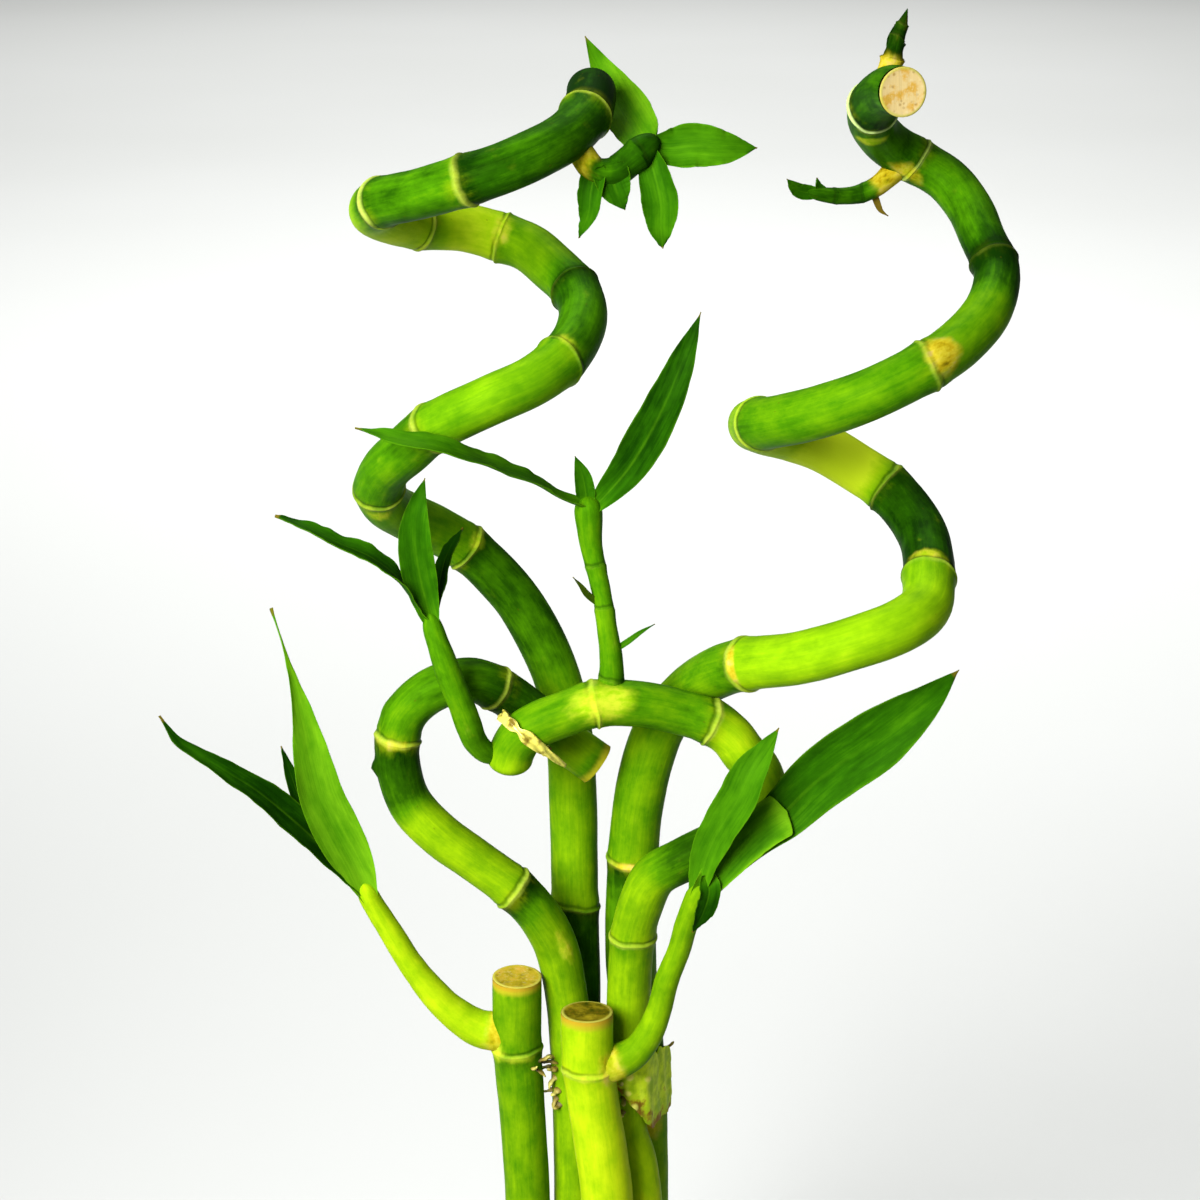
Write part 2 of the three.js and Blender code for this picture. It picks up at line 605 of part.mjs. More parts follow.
add("vase", vaseGeometry(), COLOURS.vase, 0.25);
add("pebble_bed", geometryOf(bedSolid()), COLOURS.pebbles, 0.6);
for (const [name, cane] of Object.entries(CANES)) {
  add(name, geometryOf(caneSolid(cane)), COLOURS.cane, 0.35);
}
for (const [name, shoot] of Object.entries(SHOOTS)) {
  add(name, geometryOf(shootSolid(shoot)), COLOURS.leaf, 0.45);
}
add("gilt_tie", geometryOf(tieSolid()), COLOURS.tie, 0.3, 0.9);

export default plant;
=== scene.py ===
"""Looks of the lucky bamboo: fine canes, leafy shoots, pebbles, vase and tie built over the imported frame."""

import math

import bpy
import numpy as np
from mathutils import Matrix, Vector


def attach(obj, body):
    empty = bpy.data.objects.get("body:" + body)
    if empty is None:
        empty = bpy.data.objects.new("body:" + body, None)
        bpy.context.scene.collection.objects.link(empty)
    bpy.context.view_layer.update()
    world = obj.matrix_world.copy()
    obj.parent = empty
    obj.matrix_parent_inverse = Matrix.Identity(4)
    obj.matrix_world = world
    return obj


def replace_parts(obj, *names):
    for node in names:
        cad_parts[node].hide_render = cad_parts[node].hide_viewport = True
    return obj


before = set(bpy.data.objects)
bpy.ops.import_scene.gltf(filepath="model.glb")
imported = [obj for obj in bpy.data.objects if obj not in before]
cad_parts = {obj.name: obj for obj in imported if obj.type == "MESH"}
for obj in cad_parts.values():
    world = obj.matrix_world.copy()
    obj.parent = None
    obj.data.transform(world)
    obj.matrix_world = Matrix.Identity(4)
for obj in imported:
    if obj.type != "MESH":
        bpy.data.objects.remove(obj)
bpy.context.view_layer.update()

# Everything below is in millimetres until a mesh is made
MM = 0.001
GAP = 0.3

# The front view in which every route is read, as in the part's source
VIEW_DISTANCE = 730
VIEW_TILT = math.radians(17)
VIEW_WIDTH = 300
VIEW_MIDDLE_ACROSS = 4.25
VIEW_MIDDLE_UP = 150
VIEW_MIDDLE_HEIGHT = 288.0
VIEW_MIDDLE = np.array([VIEW_MIDDLE_ACROSS, 0.0, VIEW_MIDDLE_HEIGHT])
VIEW_UP = np.array([0.0, math.sin(VIEW_TILT), math.cos(VIEW_TILT)])
VIEW_BACK = np.array([0.0, -math.cos(VIEW_TILT), math.sin(VIEW_TILT)])
EYE = VIEW_MIDDLE + VIEW_DISTANCE * VIEW_BACK

# Vase and bed, as in the part's source
VASE_HEIGHT = 95
VASE_RIM_RADIUS = 43
VASE_FOOT_RADIUS = 36
VASE_WALL = 4
VASE_FLOOR = 6
VASE_SIDES = 128
FOOT_ROUNDING = 3
BED_TOP = 85
PEBBLE_COUNT = 34
PEBBLE_RADIUS = 6.4
PEBBLE_FLATNESS = 0.62
PEBBLE_NARROWNESS = 0.87
PEBBLE_SPREAD = 0.14
PEBBLE_LIFT = 0.32
PEBBLE_HEAVE = 1.6
PEBBLE_TILT = math.radians(29)
PEBBLE_SEED = 7
GRAVEL_COUNT = 150
GRAVEL_RADII = (1.3, 2.4)

# Canes, stems and leaves
CANE_SIDES = 40
CANE_STEP = 1.0
RING_STEP = 0.2
RING_REACH = 3
RING_HEIGHT = 0.3
RING_TILT = 0.9
GROOVE_DEPTH = 0.16
DIP_REACH = 0.5
JOINT_SWELLING = 0.35
JOINT_SWELLING_LENGTH = 4
KNOB_LENGTH = 4
BAND_LENGTH = 2.9
SHADE_LENGTH = 5
TONE_BLEND_LENGTH = 9
STEM_SIDES = 20
STEM_STEP = 0.6
STEM_CLOSING = 5
LEAF_THICKNESS = 0.6
LEAF_STEPS = 90
LEAF_POINTS = 15
TIP_WIDTH = 0.3
FALL = 1.15

# Random waves start at a phase from 0 to this
PHASE = 6.28

# Distances that stand for no scar ring near: on closed ends, and where none has been counted yet
FAR = 50.0
NO_RING = 1e3

# Gilt tie, as in the part's source, and where on its turn it is pinched and widest
TIE_PLACE = 20.8
TIE_WIDTH = 2.8
TIE_THICKNESS = 0.8
TIE_SLACK = 0.5
TIE_TURNS = 0.84
TIE_SLOPE = math.radians(39)
TIE_END = math.radians(-35)
TIE_TAIL = 11
TIE_DROP = 3
TIE_TAPER = 0.6
TIE_PINCH = math.radians(12)
TIE_WIDEST = math.radians(-20)

# The old sheath low on the right: its line round the canes as [across, forward], how low it hangs at each of
# these points, how far up it reaches, and its lumps as [across, up, size]
SHEATH_LINE = [
    [5.4, 4.6], [7.3, 6], [9.6, 6.8], [11, 7.1], [13, 6.8], [15, 5.6], [16.6, 3.2], [17.8, -0.5],
    [19.2, -4.4], [20.8, -8.4], [21.6, -12.2], [20.8, -15.8], [18, -18.8],
]
SHEATH_LOW = [33, 28, 24.5, 21, 18.4, 17, 19, 20.4, 21.4, 22.6, 23.4, 27, 34]
SHEATH_HIGH = 37.8
SHEATH_LUMPS = [[11.6, 31, 1.1], [11.2, 27, 0.9], [12.6, 23.4, 1], [15.5, 30.5, 0.8]]

# Canes. Foot is [x, y] on the vase's floor, and route lists [across, up, forward]. Joints, and every place
# below, count the route's points. Looks of a cane:
# tones: how light each length between two joints is, from 0 for the darkest to 1, from the foot up, partly the
# skin's own green and partly painted light and shade, and above 1 where painted light lifts a shaded length
# rings: one for each joint, how bright it is, and how much painted shade darkens the skin just below and just
# above it
# dips: rings past their joint or bent on one side, as [ring, how far past, depth of the bend, its turn]
# scars: pale patches, as [place, turn, half length, half width, strength, 0 for a glow to 1 for rust]
# nubs: small bumps, as [place, turn, half length, half width, height]
# shaded: lengths with painted light or painted shade, lighter or darker than the rest, as [from, to, by how
# much]
# cut: how dry the sawn end is, from 0 for fresh cream to 1 for brown, or None for a green knob
# band: how yellow the skin has dried just below the cut
# Turns are in degrees from the viewer's side.
CANES = {
    "left_spiral_cane": {
        "foot": [-1.5, 13], "radii": [6.3, 5.9], "cut": None,
        "joints": [2, 8, 12, 15, 18, 21, 24, 26, 28.5, 31, 35],
        "route": [
            [-1.5, 12.5, -13], [-1.5, 50, -13], [-2, 74, -14.5], [-2.5, 100, -17], [-3.5, 116, -19],
            [-7, 132, -21.5], [-15, 148, -24.5], [-21, 155.5, -26], [-29, 163, -26], [-36.5, 167.5, -22],
            [-44, 171, -13.5], [-49, 174, -5], [-51, 178, 2], [-49, 183, 9], [-44, 187.5, 15.5],
            [-37.5, 193, 21], [-23, 200, 27], [-13, 204.5, 25], [-6, 209.5, 19], [-1.5, 215.5, 10],
            [0, 222, 0], [-2, 227.5, -8], [-8, 233.5, -17], [-13.5, 238, -23], [-20, 240.5, -26],
            [-29, 243, -25], [-41, 243.8, -17], [-48, 245.3, -8], [-52.3, 247.3, 1], [-50, 249.5, 11],
            [-41, 251.5, 20], [-29, 255, 26.5], [-20, 258, 27.5], [-11, 262, 24.5], [-4, 266, 16.5],
            [0.5, 271, 6], [2, 275.5, -4.5], [2, 278, -14],
        ],
        "tones": [0.33, 0.53, 0.52, 0.44, 0.58, 0.34, 0.62, 1.12, 1.08, 0.34, 0.24, 0.06],
        "dips": [[8, 5.4, 1.8, 60]], "shaded": [[4.6, 8.4, -0.28]],
        "scars": [
            [24, 20, 2.6, 4.4, 0.9, 0.3], [11.6, -25, 2.6, 3.4, 0.9, 0], [18.1, -20, 2.4, 3.4, 0.6, 0.1],
            [8.1, 30, 2.2, 3.6, 0.7, 0.1],
        ],
        "rings": [
            [0.35, 0.35, 0], [0.8, 0.3, 0.05], [0.8, 0.1, 0.1], [0.9, 0.15, 0.1], [0.4, 0.1, 0.1],
            [0.1, 0.4, 0.4], [0.6, 0.05, 0.1], [1, 0.4, 0], [1.1, 0.85, 0.1], [1, 0, 0.35], [0.7, 0.1, 0.45],
        ],
    },
    "right_spiral_cane": {
        "foot": [15.5, 12.5], "radii": [7, 6.85, 6.7, 6.5, 6.4, 6.3, 5.65, 5.9], "cut": 0, "band": 0.3,
        "joints": [3, 9, 14, 18, 24, 28, 32, 36, 39],
        "route": [
            [15, 12.5, -12.5], [14, 37.5, -12], [12, 60, -11.5], [12.5, 85.5, -11], [14, 100, -11],
            [16.5, 111, -11], [20, 119.5, -11], [27, 127.5, -8], [34, 132, 0], [41, 134, 8], [54, 135.5, 18],
            [67, 139, 23], [79.3, 143.5, 21], [85.5, 148.3, 13.5], [86.5, 155.5, 4], [86.3, 160.5, -4],
            [85, 166, -12], [81.5, 172, -19], [76, 178, -24], [68.5, 183, -26], [61, 187.5, -24],
            [52.5, 190.8, -18], [46, 192.5, -10], [42.6, 193.7, -1], [44.5, 194, 8], [50.5, 195, 17],
            [59, 197, 24], [72, 201.5, 29], [86, 208.5, 27.5], [94, 214, 21], [101, 222, 11],
            [103.5, 230.5, 0], [102.7, 234.5, -4.5], [100, 240.3, -11], [96.6, 248, -20], [91, 255, -26],
            [83, 260, -28], [76.5, 264, -25], [72.5, 269, -17], [72.5, 273.3, -8], [75, 276.3, 0],
            [77.5, 277.5, 7], [80, 277, 13],
        ],
        "tones": [0.38, 0.48, 0.76, 0.12, 1, 0.46, 0.52, 0.37, 0.33, 0.26], "dips": [[8, 0, 1.4, 0]],
        "shaded": [[-1, 0.8, 0.2], [18, 21.5, 0.5], [30, 32.5, -0.25]],
        "scars": [
            [28.2, -5, 5, 5.4, 1.3, 0.9], [14.2, 0, 2.4, 5.2, 0.8, 0.4], [9.05, 0, 1.3, 6, 1, 0.7],
            # The patch at place 38.2 is a painted sheen below the top ring, drawn as a pale patch
            [36.3, -40, 5, 3, 0.9, 0.6], [38.2, -10, 2.4, 4.4, 1.1, 0], [0.35, 0, 6.5, 6, 1, 0.6],
            [3, 0, 1.3, 6, 0.9, 0.8],
        ],
        "rings": [
            [0.8, 0.4, 0], [0.9, 0.15, 0], [0.6, 0.1, 0.2], [0.5, 0, 0.35], [1, 0.35, 0.1], [0.5, 0.1, 0.05],
            [0.1, 0.45, 0.6], [1.15, 0.15, 0.25], [1.4, 0.1, 0.4],
        ],
    },
    "left_heart_cane": {
        "foot": [-2, 0], "radii": [5.7, 5.7], "cut": 0.5, "band": 0.7, "joints": [5, 10, 15],
        "route": [
            [-2, 7.5, 0], [-2.5, 30, 0], [-4, 50, 0], [-7, 64, 2], [-12, 72.5, 5], [-17.5, 78, 6],
            [-27, 85, 6], [-36, 91.5, 6], [-43, 99, 5], [-46, 107.5, 5], [-46.3, 115.5, 5],
            [-44.3, 121.5, 5], [-40.3, 125.8, 5], [-35, 128.7, 5], [-28, 130, 3.5], [-22, 128, 1],
            [-15, 123.5, -3], [-8, 118, -5], [-2, 113, -5], [3.5, 109, -5],
        ],
        "tones": [0.6, 0.66, 0.36, 0.18], "shaded": [[7.6, 10.2, -0.4], [17, 20, 0.44]],
        "nubs": [[9.2, -84, 1.6, 1.6, 1.3], [10.9, -70, 3, 3, 0.5]],
        "scars": [[3.1, 20, 5.5, 2, 0.9, 0.4], [10, 0, 1.6, 5.6, 0.7, 0.5]],
        "rings": [[0.9, 0.75, 0], [0.9, 0.5, 0], [1, 0.3, 0.15]],
    },
    "right_heart_cane": {
        "foot": [19, -1.5], "radii": [5.8, 5.8], "cut": None, "joints": [3, 14, 17],
        "route": [
            [13.5, 7.5, 1.5], [10.6, 18, 1], [10.8, 32, 0], [12.5, 66, 3], [14.5, 74, 5], [18, 81, 7],
            [25, 85, 9], [33, 89, 9], [40, 93, 8], [44, 99, 7], [45, 104, 7], [43.5, 108, 7], [40, 112, 7],
            [37, 116, 7], [32, 119.5, 7], [24, 122, 7], [14, 124, 9], [3, 124, 11], [-4.5, 121.5, 12.2],
            [-11, 119, 12.4], [-15.5, 116, 11.6], [-18, 111.5, 10.8], [-18.7, 107.3, 10],
        ],
        "tones": [0.68, 0.6, 0.42, 0.46],
        "shaded": [[-1, 0.9, 0.35], [5, 8, -0.4], [12, 14, 0.3], [20.5, 24, 0.22]],
        "scars": [[16.9, 0, 8.5, 5, 1.2, 0]], "rings": [[1, 0.2, 0], [1, 0.2, 0.1], [0.8, 0, 0]],
    },
    "left_short_cane": {
        "foot": [-14.5, -4], "radii": [5.8, 5.8, 5.85, 6.4], "cut": 0.45, "band": 1, "joints": [3],
        "route": [
            [-13.9, 2.5, 4], [-14.5, 12.5, 4], [-15.4, 25, 4], [-16.4, 38, 4.5], [-16.5, 47.5, 5.5],
            [-16.5, 55.8, 6.2],
        ],
        "tones": [0.5, 0.54], "scars": [[3.1, -60, 3.4, 3.4, 1, 0.3], [3, 10, 1.3, 6.4, 0.6, 0.1]],
        "rings": [[0.7, 0.25, 0.1]],
    },
    "front_short_cane": {
        "foot": [6, -14], "radii": [6.9, 6.6], "cut": 0.75, "band": 1, "joints": [3],
        "route": [[6, 0, 14], [4.5, 12.5, 14], [2.5, 25, 14], [1.5, 33, 14], [1, 40, 14], [1, 47, 14]],
        "tones": [0.92, 0.84], "scars": [[3.2, 50, 4.5, 3.8, 1.1, 0.6], [3.02, 10, 1.5, 6.8, 0.8, 0.2]],
        "rings": [[0.9, 0.1, 0]],
    },
}

TO_FRONT = [0, -1, 0.3]


def leaf(width, widest, base, face, tone, route, **more):
    """A leaf: its full width, where it is widest, its share of that at the base, and the way it faces."""
    return dict(width=width, widest=widest, base=base, face=face, tone=tone, route=route, **more)


# Shoots. Looks of a shoot: its stem's lightness, how far up from the cane it is dry, how much and how rusty,
# the rings on it as shares of its length, and how bright these are. Turn is a leaf's twist in degrees. The
# clasp is the collar of the right shoot's broad leaf, a thin leaf that lies against it.
# The tone of a stem and of each leaf is its lightness: partly its own green and partly painted light and shade
SHOOTS = {
    "left_shoot": {
        "radii": [5.4, 4.3, 3.4, 3, 2.7], "tone": 0.84, "collar": 3, "collar_dry": 0.9, "rust": 0.7,
        "stem": [
            [-19.5, 42, 4.5], [-26, 43, 4], [-33, 47.5, 4], [-37.5, 52, 4], [-43, 59, 4], [-48, 67, 4],
            [-53, 75, 4], [-55, 79, 4.5],
        ],
        "leaves": [
            leaf(12.5, 0.28, 0.4, [0.2, -1, 0.1], 0.86, [
                [-53, 75, 4], [-57.3, 84.5, 5], [-61.6, 92.5, 6], [-65.6, 101, 7], [-68, 110, 7],
                [-69.6, 118, 6], [-71.2, 125, 4], [-74.2, 136, 0], [-78, 148, -4],
            ], point=2.4, turn=40),
            leaf(9, 0.3, 0.5, [0.4, -0.8, 0.8], 0.28, [
                [-53.2, 75.4, 3.5], [-59, 82, 4.5], [-68, 90.8, 8], [-74.9, 96.9, 11], [-81.6, 102.2, 14],
                [-88.6, 106.6, 16], [-95.6, 110.9, 17], [-101.5, 114.8, 18], [-106, 121, 18],
            ], turn=10),
            leaf(4.5, 0.4, 0.9, [0.6, -1, 0], 0.2, [
                [-64, 92, 5], [-70.5, 100, 2.5], [-73, 106, 0.5], [-75.5, 113.5, -2],
            ]),
        ],
    },
    "heart_shoot": {
        "radii": [2.6, 3.3, 3.2, 2.4], "tone": 0.38, "collar": 1, "collar_dry": 0.3,
        "stem": [
            [-19.3, 111.5, 10], [-23.8, 111.8, 12], [-26.8, 114.5, 14], [-28.5, 118.5, 15.5],
            [-30.5, 124, 16.5], [-33, 130, 17], [-35.5, 137, 17], [-37.5, 143, 16], [-38.5, 147, 15],
        ],
        "leaves": [
            leaf(7.5, 0.5, 0.4, [0.1, -0.25, 1], 0.4, [
                [-38, 144, 15.5], [-43, 151, 17], [-47, 156, 19], [-53, 160.5, 20], [-61, 164, 20],
                [-69.5, 168.3, 19], [-77, 171, 17],
            ]),
            leaf(9, 0.45, 0.5, TO_FRONT, 0.5, [
                [-37.7, 144, 15.5], [-40, 152.5, 16.5], [-41.5, 160, 18], [-42, 167.5, 19], [-41, 175, 18],
                [-39.5, 180.5, 16],
            ]),
            leaf(5, 0.5, 0.5, [-0.6, -0.8, 0.2], 0.22, [
                [-37.8, 144, 15.5], [-36, 153, 12.5], [-34, 161, 8], [-30, 168, 3],
            ]),
        ],
    },
    "centre_shoot": {
        "radii": [3.4, 2.8, 2.3, 2.7, 3.9], "tone": 0.44, "collar": 1, "collar_dry": 0.3,
        "rings": [0.12, 0.45, 0.66], "bright": 0.1,
        "stem": [
            [5.5, 125, 9], [7, 130, 9.5], [7, 136, 10], [6, 143, 10], [5, 150, 9], [3.5, 157, 8],
            [2, 164, 7], [1.5, 170, 7], [1, 176, 7],
        ],
        "leaves": [
            leaf(7.5, 0.62, 0.5, [0.1, -0.45, 1], 0.64, [
                [1, 173, 7.5], [-6, 176, 12], [-13, 180, 18], [-21, 183, 24], [-29, 186, 30],
                [-37, 188.5, 33], [-45, 190, 34], [-57, 193, 31],
            ]),
            leaf(10.5, 0.42, 0.35, [-0.3, -1, 0.2], 0.32, [
                [1.5, 172, 7], [5.5, 176, 7.5], [11.5, 183, 9], [17, 192, 11], [21, 200, 12],
                [24.5, 208.5, 11], [29.5, 222, 7],
            ]),
            leaf(5, 0.3, 0.9, TO_FRONT, 0.48, [[1, 174, 7], [0, 180.5, 7], [-2, 186, 6]]),
            leaf(1.8, 0.3, 0.9, TO_FRONT, 0.3, [
                [4, 149, 9], [1, 151.5, 11], [-0.5, 153.5, 12], [-2.5, 155.7, 12.5],
            ], dry=0.3),
            leaf(1.6, 0.3, 0.9, TO_FRONT, 0.5, [
                [7, 137, 10], [11, 139.5, 10.5], [14.5, 142, 10.5], [18, 144, 10],
            ]),
        ],
    },
    "right_shoot": {
        "radii": [5.4, 3.8, 3.2, 3, 2.9, 3], "tone": 0.56, "collar": 5, "collar_dry": 1, "rust": 0.5,
        "stem": [
            [4, 34, 14], [8, 34.5, 14], [13, 37, 14], [16.5, 41.5, 14], [19, 47.5, 14], [21, 55, 15],
            [24, 62.5, 16], [26, 69.5, 18], [28.5, 76, 20], [30, 79, 20.5],
        ],
        "leaves": [
            leaf(16.5, 0.6, 0.36, [0.1, -1, 0.35], 0.48, [
                [28, 74.5, 19.5], [35.5, 83, 20], [43, 90.5, 19], [50.5, 97, 18], [57, 103.5, 18],
                [64, 109, 19], [71.5, 114, 20], [79, 119.5, 20], [86, 125, 19], [94, 132.5, 16],
            ], rise=2),
            leaf(10.5, 0.58, 0.4, [-0.5, -1, 0.1], 0.64, [
                [28.3, 75, 20], [31, 86, 22.5], [35, 94, 24.5], [39, 100.5, 25.5], [42, 107, 25],
                [45.5, 112.5, 23], [49, 118, 20],
            ]),
            leaf(6, 0.35, 0.8, [0.3, -1, -0.2], 0.16, [
                [31, 81, 21.5], [31.5, 77, 23.5], [30, 72, 24.5], [27.3, 67, 24.5],
            ]),
        ],
        "clasp": leaf(11.6, 0.94, 0.5, [0.1, -1, 0.35], 0.58, [
            [28.6, 75.5, 20.7], [34.5, 83, 21], [41, 90, 20.3], [46, 94.2, 19.6], [51, 97.2, 19.2],
        ], margin=0.5),
    },
    "left_spiral_shoot": {
        "radii": [3, 3.2, 3.7, 3.7, 2.9], "tone": 0.2, "collar": 3.5, "collar_dry": 0.8, "rust": 0.6,
        "rings": [0.75],
        "stem": [
            [-1, 262.5, 16], [3, 257.5, 16], [7.5, 257, 15.5], [12, 260, 14.5], [16, 263.5, 13],
            [19, 265.5, 12],
        ],
        "leaves": [
            leaf(12, 0.4, 0.75, [-0.2, -1, 0.4], 0.84, [
                [16.5, 262.5, 12.5], [14.5, 266.5, 3], [11.5, 271.5, -9], [8.3, 276.8, -19], [5, 282.5, -23],
                [0.5, 291, -24],
            ]),
            leaf(10.8, 0.36, 0.5, [0.1, -1, 0.3], 0.68, [
                [17, 263.5, 12.5], [21.5, 263, 12.5], [28, 263.5, 13.5], [35, 263, 14], [43.5, 263, 12],
            ]),
            leaf(9, 0.5, 0.5, [-0.2, -1, 0.2], 0.56, [
                [16, 263, 13], [18, 256, 15.5], [19.5, 249, 16.5], [19.5, 243, 16], [20, 238, 14],
            ]),
            leaf(6.5, 0.2, 0.95, [-0.3, -1, 0.2], 0.5, [
                [3.5, 258.5, 16.5], [2, 252, 18.5], [1.5, 247, 19], [-1, 240.5, 17],
            ]),
            leaf(9, 0.2, 0.95, TO_FRONT, 0.5, [[6.5, 258.5, 16.5], [8, 253, 18], [10.5, 247.5, 18]]),
        ],
    },
    "right_spiral_shoot": {
        "radii": [3, 2.4, 2, 1.8], "tone": 0.3, "collar": 6, "collar_dry": 1, "rust": 0.8,
        "rings": [0.4, 0.7],
        "stem": [
            [78, 257.5, -27], [73.5, 253.5, -25], [69, 251.5, -24], [64, 251, -22], [59, 251.5, -20],
            [56, 252, -19.5],
        ],
        "leaves": [
            leaf(4, 0.4, 0.9, TO_FRONT, 0.6, [[58, 251.7, -20], [54, 252.3, -18.5], [51, 255.2, -17]]),
            leaf(2.6, 0.3, 0.9, [0.5, -1, 0.2], 0.5, [
                [61, 251.5, -20.5], [59, 253, -20], [58.5, 255.5, -19],
            ]),
            leaf(1.8, 0.3, 0.9, TO_FRONT, 0.5, [
                [72.5, 252.5, -25], [73.5, 249.3, -25.5], [74.5, 247.3, -26], [76.3, 246, -26],
            ], dry=0.8),
        ],
    },
    "right_spiral_bud": {
        "radii": [3, 2.7, 1.9, 1.5, 0.4], "tone": 0.05, "collar": 6, "collar_dry": 1, "rust": 0.7,
        "rings": [0.36, 0.6, 0.8], "bright": 0.1, "flare": 0.25,
        "stem": [[75, 278.5, -3], [77, 284, -4], [78.2, 289, -5], [79.5, 293, -6], [81.2, 298, -7]],
        "leaves": [
            leaf(3.4, 0.3, 0.9, TO_FRONT, 0, [[77.5, 286, -4.5], [77.5, 290, -7], [78, 294, -7.5]]),
        ],
    },
}


# Paths


def unit(v):
    return v / np.linalg.norm(v, axis=-1, keepdims=True)


def around(count):
    """Angles evenly round a circle."""
    return np.linspace(0, 2 * np.pi, count, endpoint=False)


def together(*columns):
    return np.stack(np.broadcast_arrays(*columns), -1)


def revolved(r, theta, z):
    return together(r * np.cos(theta), r * np.sin(theta), z)


def swung(direction, axis, angle):
    """A direction turned about an axis."""
    return np.array(Matrix.Rotation(angle, 3, Vector(axis)) @ Vector(direction))


def seen(point):
    """The place of a point read in the front view, whose across and up are those at the view's middle."""
    across, up, forward = point
    on_view = VIEW_MIDDLE + np.array([across - VIEW_MIDDLE_ACROSS, 0, 0]) + (up - VIEW_MIDDLE_UP) * VIEW_UP
    share = (-forward - EYE[1]) / (on_view[1] - EYE[1])
    return EYE + share * (on_view - EYE)


def smooth_line(points, per_point):
    """Points along a centripetal curve through the given ones."""
    p = np.vstack([2 * points[0] - points[1], points, 2 * points[-1] - points[-2]])
    t = np.linspace(0, 1, per_point, endpoint=False)[:, None]
    line = []
    for a, b, c, d in zip(p, p[1:], p[2:], p[3:]):
        ab, bc, cd = (np.linalg.norm(k) ** 0.5 for k in (b - a, c - b, d - c))
        start = ((b - a) / ab - (c - a) / (ab + bc) + (c - b) / bc) * bc
        end = ((c - b) / bc - (d - b) / (bc + cd) + (d - c) / cd) * bc
        bend = 3 * (c - b) - 2 * start - end
        line.append(b + start * t + bend * t**2 + (2 * (b - c) + start + end) * t**3)
    return np.vstack([*line, p[-2:-1]])


def lengths_of(line):
    steps = np.linalg.norm(np.diff(line, axis=0), axis=1)
    return np.concatenate([[0], np.cumsum(steps)])


class Path:
    """A smooth path through points, read by the length along it, with a frame that doesn't twist."""

    def __init__(self, points, per_point=40):
        self.per_point = per_point
        self.line = smooth_line(np.array(points, float), per_point)
        self.lengths = lengths_of(self.line)
        self.length = self.lengths[-1]
        self.tangents = unit(np.gradient(self.line, self.lengths, axis=0))
        side = np.array([1.0, 0, 0])
        sides = []
        for tangent in self.tangents:
            side = unit(side - (side @ tangent) * tangent)
            sides.append(side)
        self.sides = np.array(sides)

    def length_at_point(self, number):
        return float(np.interp(number * self.per_point, np.arange(len(self.line)), self.lengths))

    def read(self, values, s):
        return np.stack([np.interp(s, self.lengths, values[:, k]) for k in range(3)], -1)

    def at(self, s):
        return self.read(self.line, s)

    def frame(self, s):
        """Tangent, side and the third direction at lengths s."""
        tangent = unit(self.read(self.tangents, s))
        side = self.read(self.sides, s)
        side = unit(side - (side * tangent).sum(-1, keepdims=True) * tangent)
        return tangent, side, np.cross(tangent, side)


def route_path(route):
    return Path([seen(point) for point in route])


def stations(length, step, fine_places, fine_step, reach):
    """Lengths at which a tube gets a ring of points: even steps, and closer ones near the fine places."""
    values = [np.linspace(0, length, int(length / step) + 2)]
    for place in fine_places:
        values.append(np.arange(place - reach, place + reach, fine_step))
    s = np.unique(np.round(np.concatenate(values), 3))
    s = s[(s >= 0) & (s <= length)]
    return s[np.concatenate([[True], np.diff(s) > fine_step * 0.4])]


def spread_along(values, share):
    return np.interp(share, np.linspace(0, 1, len(values)), values)


def tube_points(path, s, theta, radius):
    _, side, third = path.frame(s)
    ring = np.cos(theta)[None, :, None] * side[:, None] + np.sin(theta)[None, :, None] * third[:, None]
    return path.at(s)[:, None] + radius[..., None] * ring


def wobble(values, seed, amplitude, period):
    """Smooth random unevenness along a value."""
    random = np.random.default_rng(seed)
    total = np.zeros_like(values, float)
    for k in range(1, 5):
        total += np.sin(values * 2 * np.pi * k / period + random.uniform(0, PHASE)) / k
    return amplitude * total / 2


# Meshes

# What each point carries for the materials: its distance from the nearest scar ring, the side of that ring
# it's on and how bright the ring is, how strong and how rusty a pale patch is there, its lightness (partly
# painted light and shade), whether it's on a sawn face or a blade's underside, how dried it is, and its
# shares across and along the piece
ATTRIBUTES = ["ring", "past", "bright", "scar", "rust", "tone", "cut", "dry", "across", "lengthwise"]


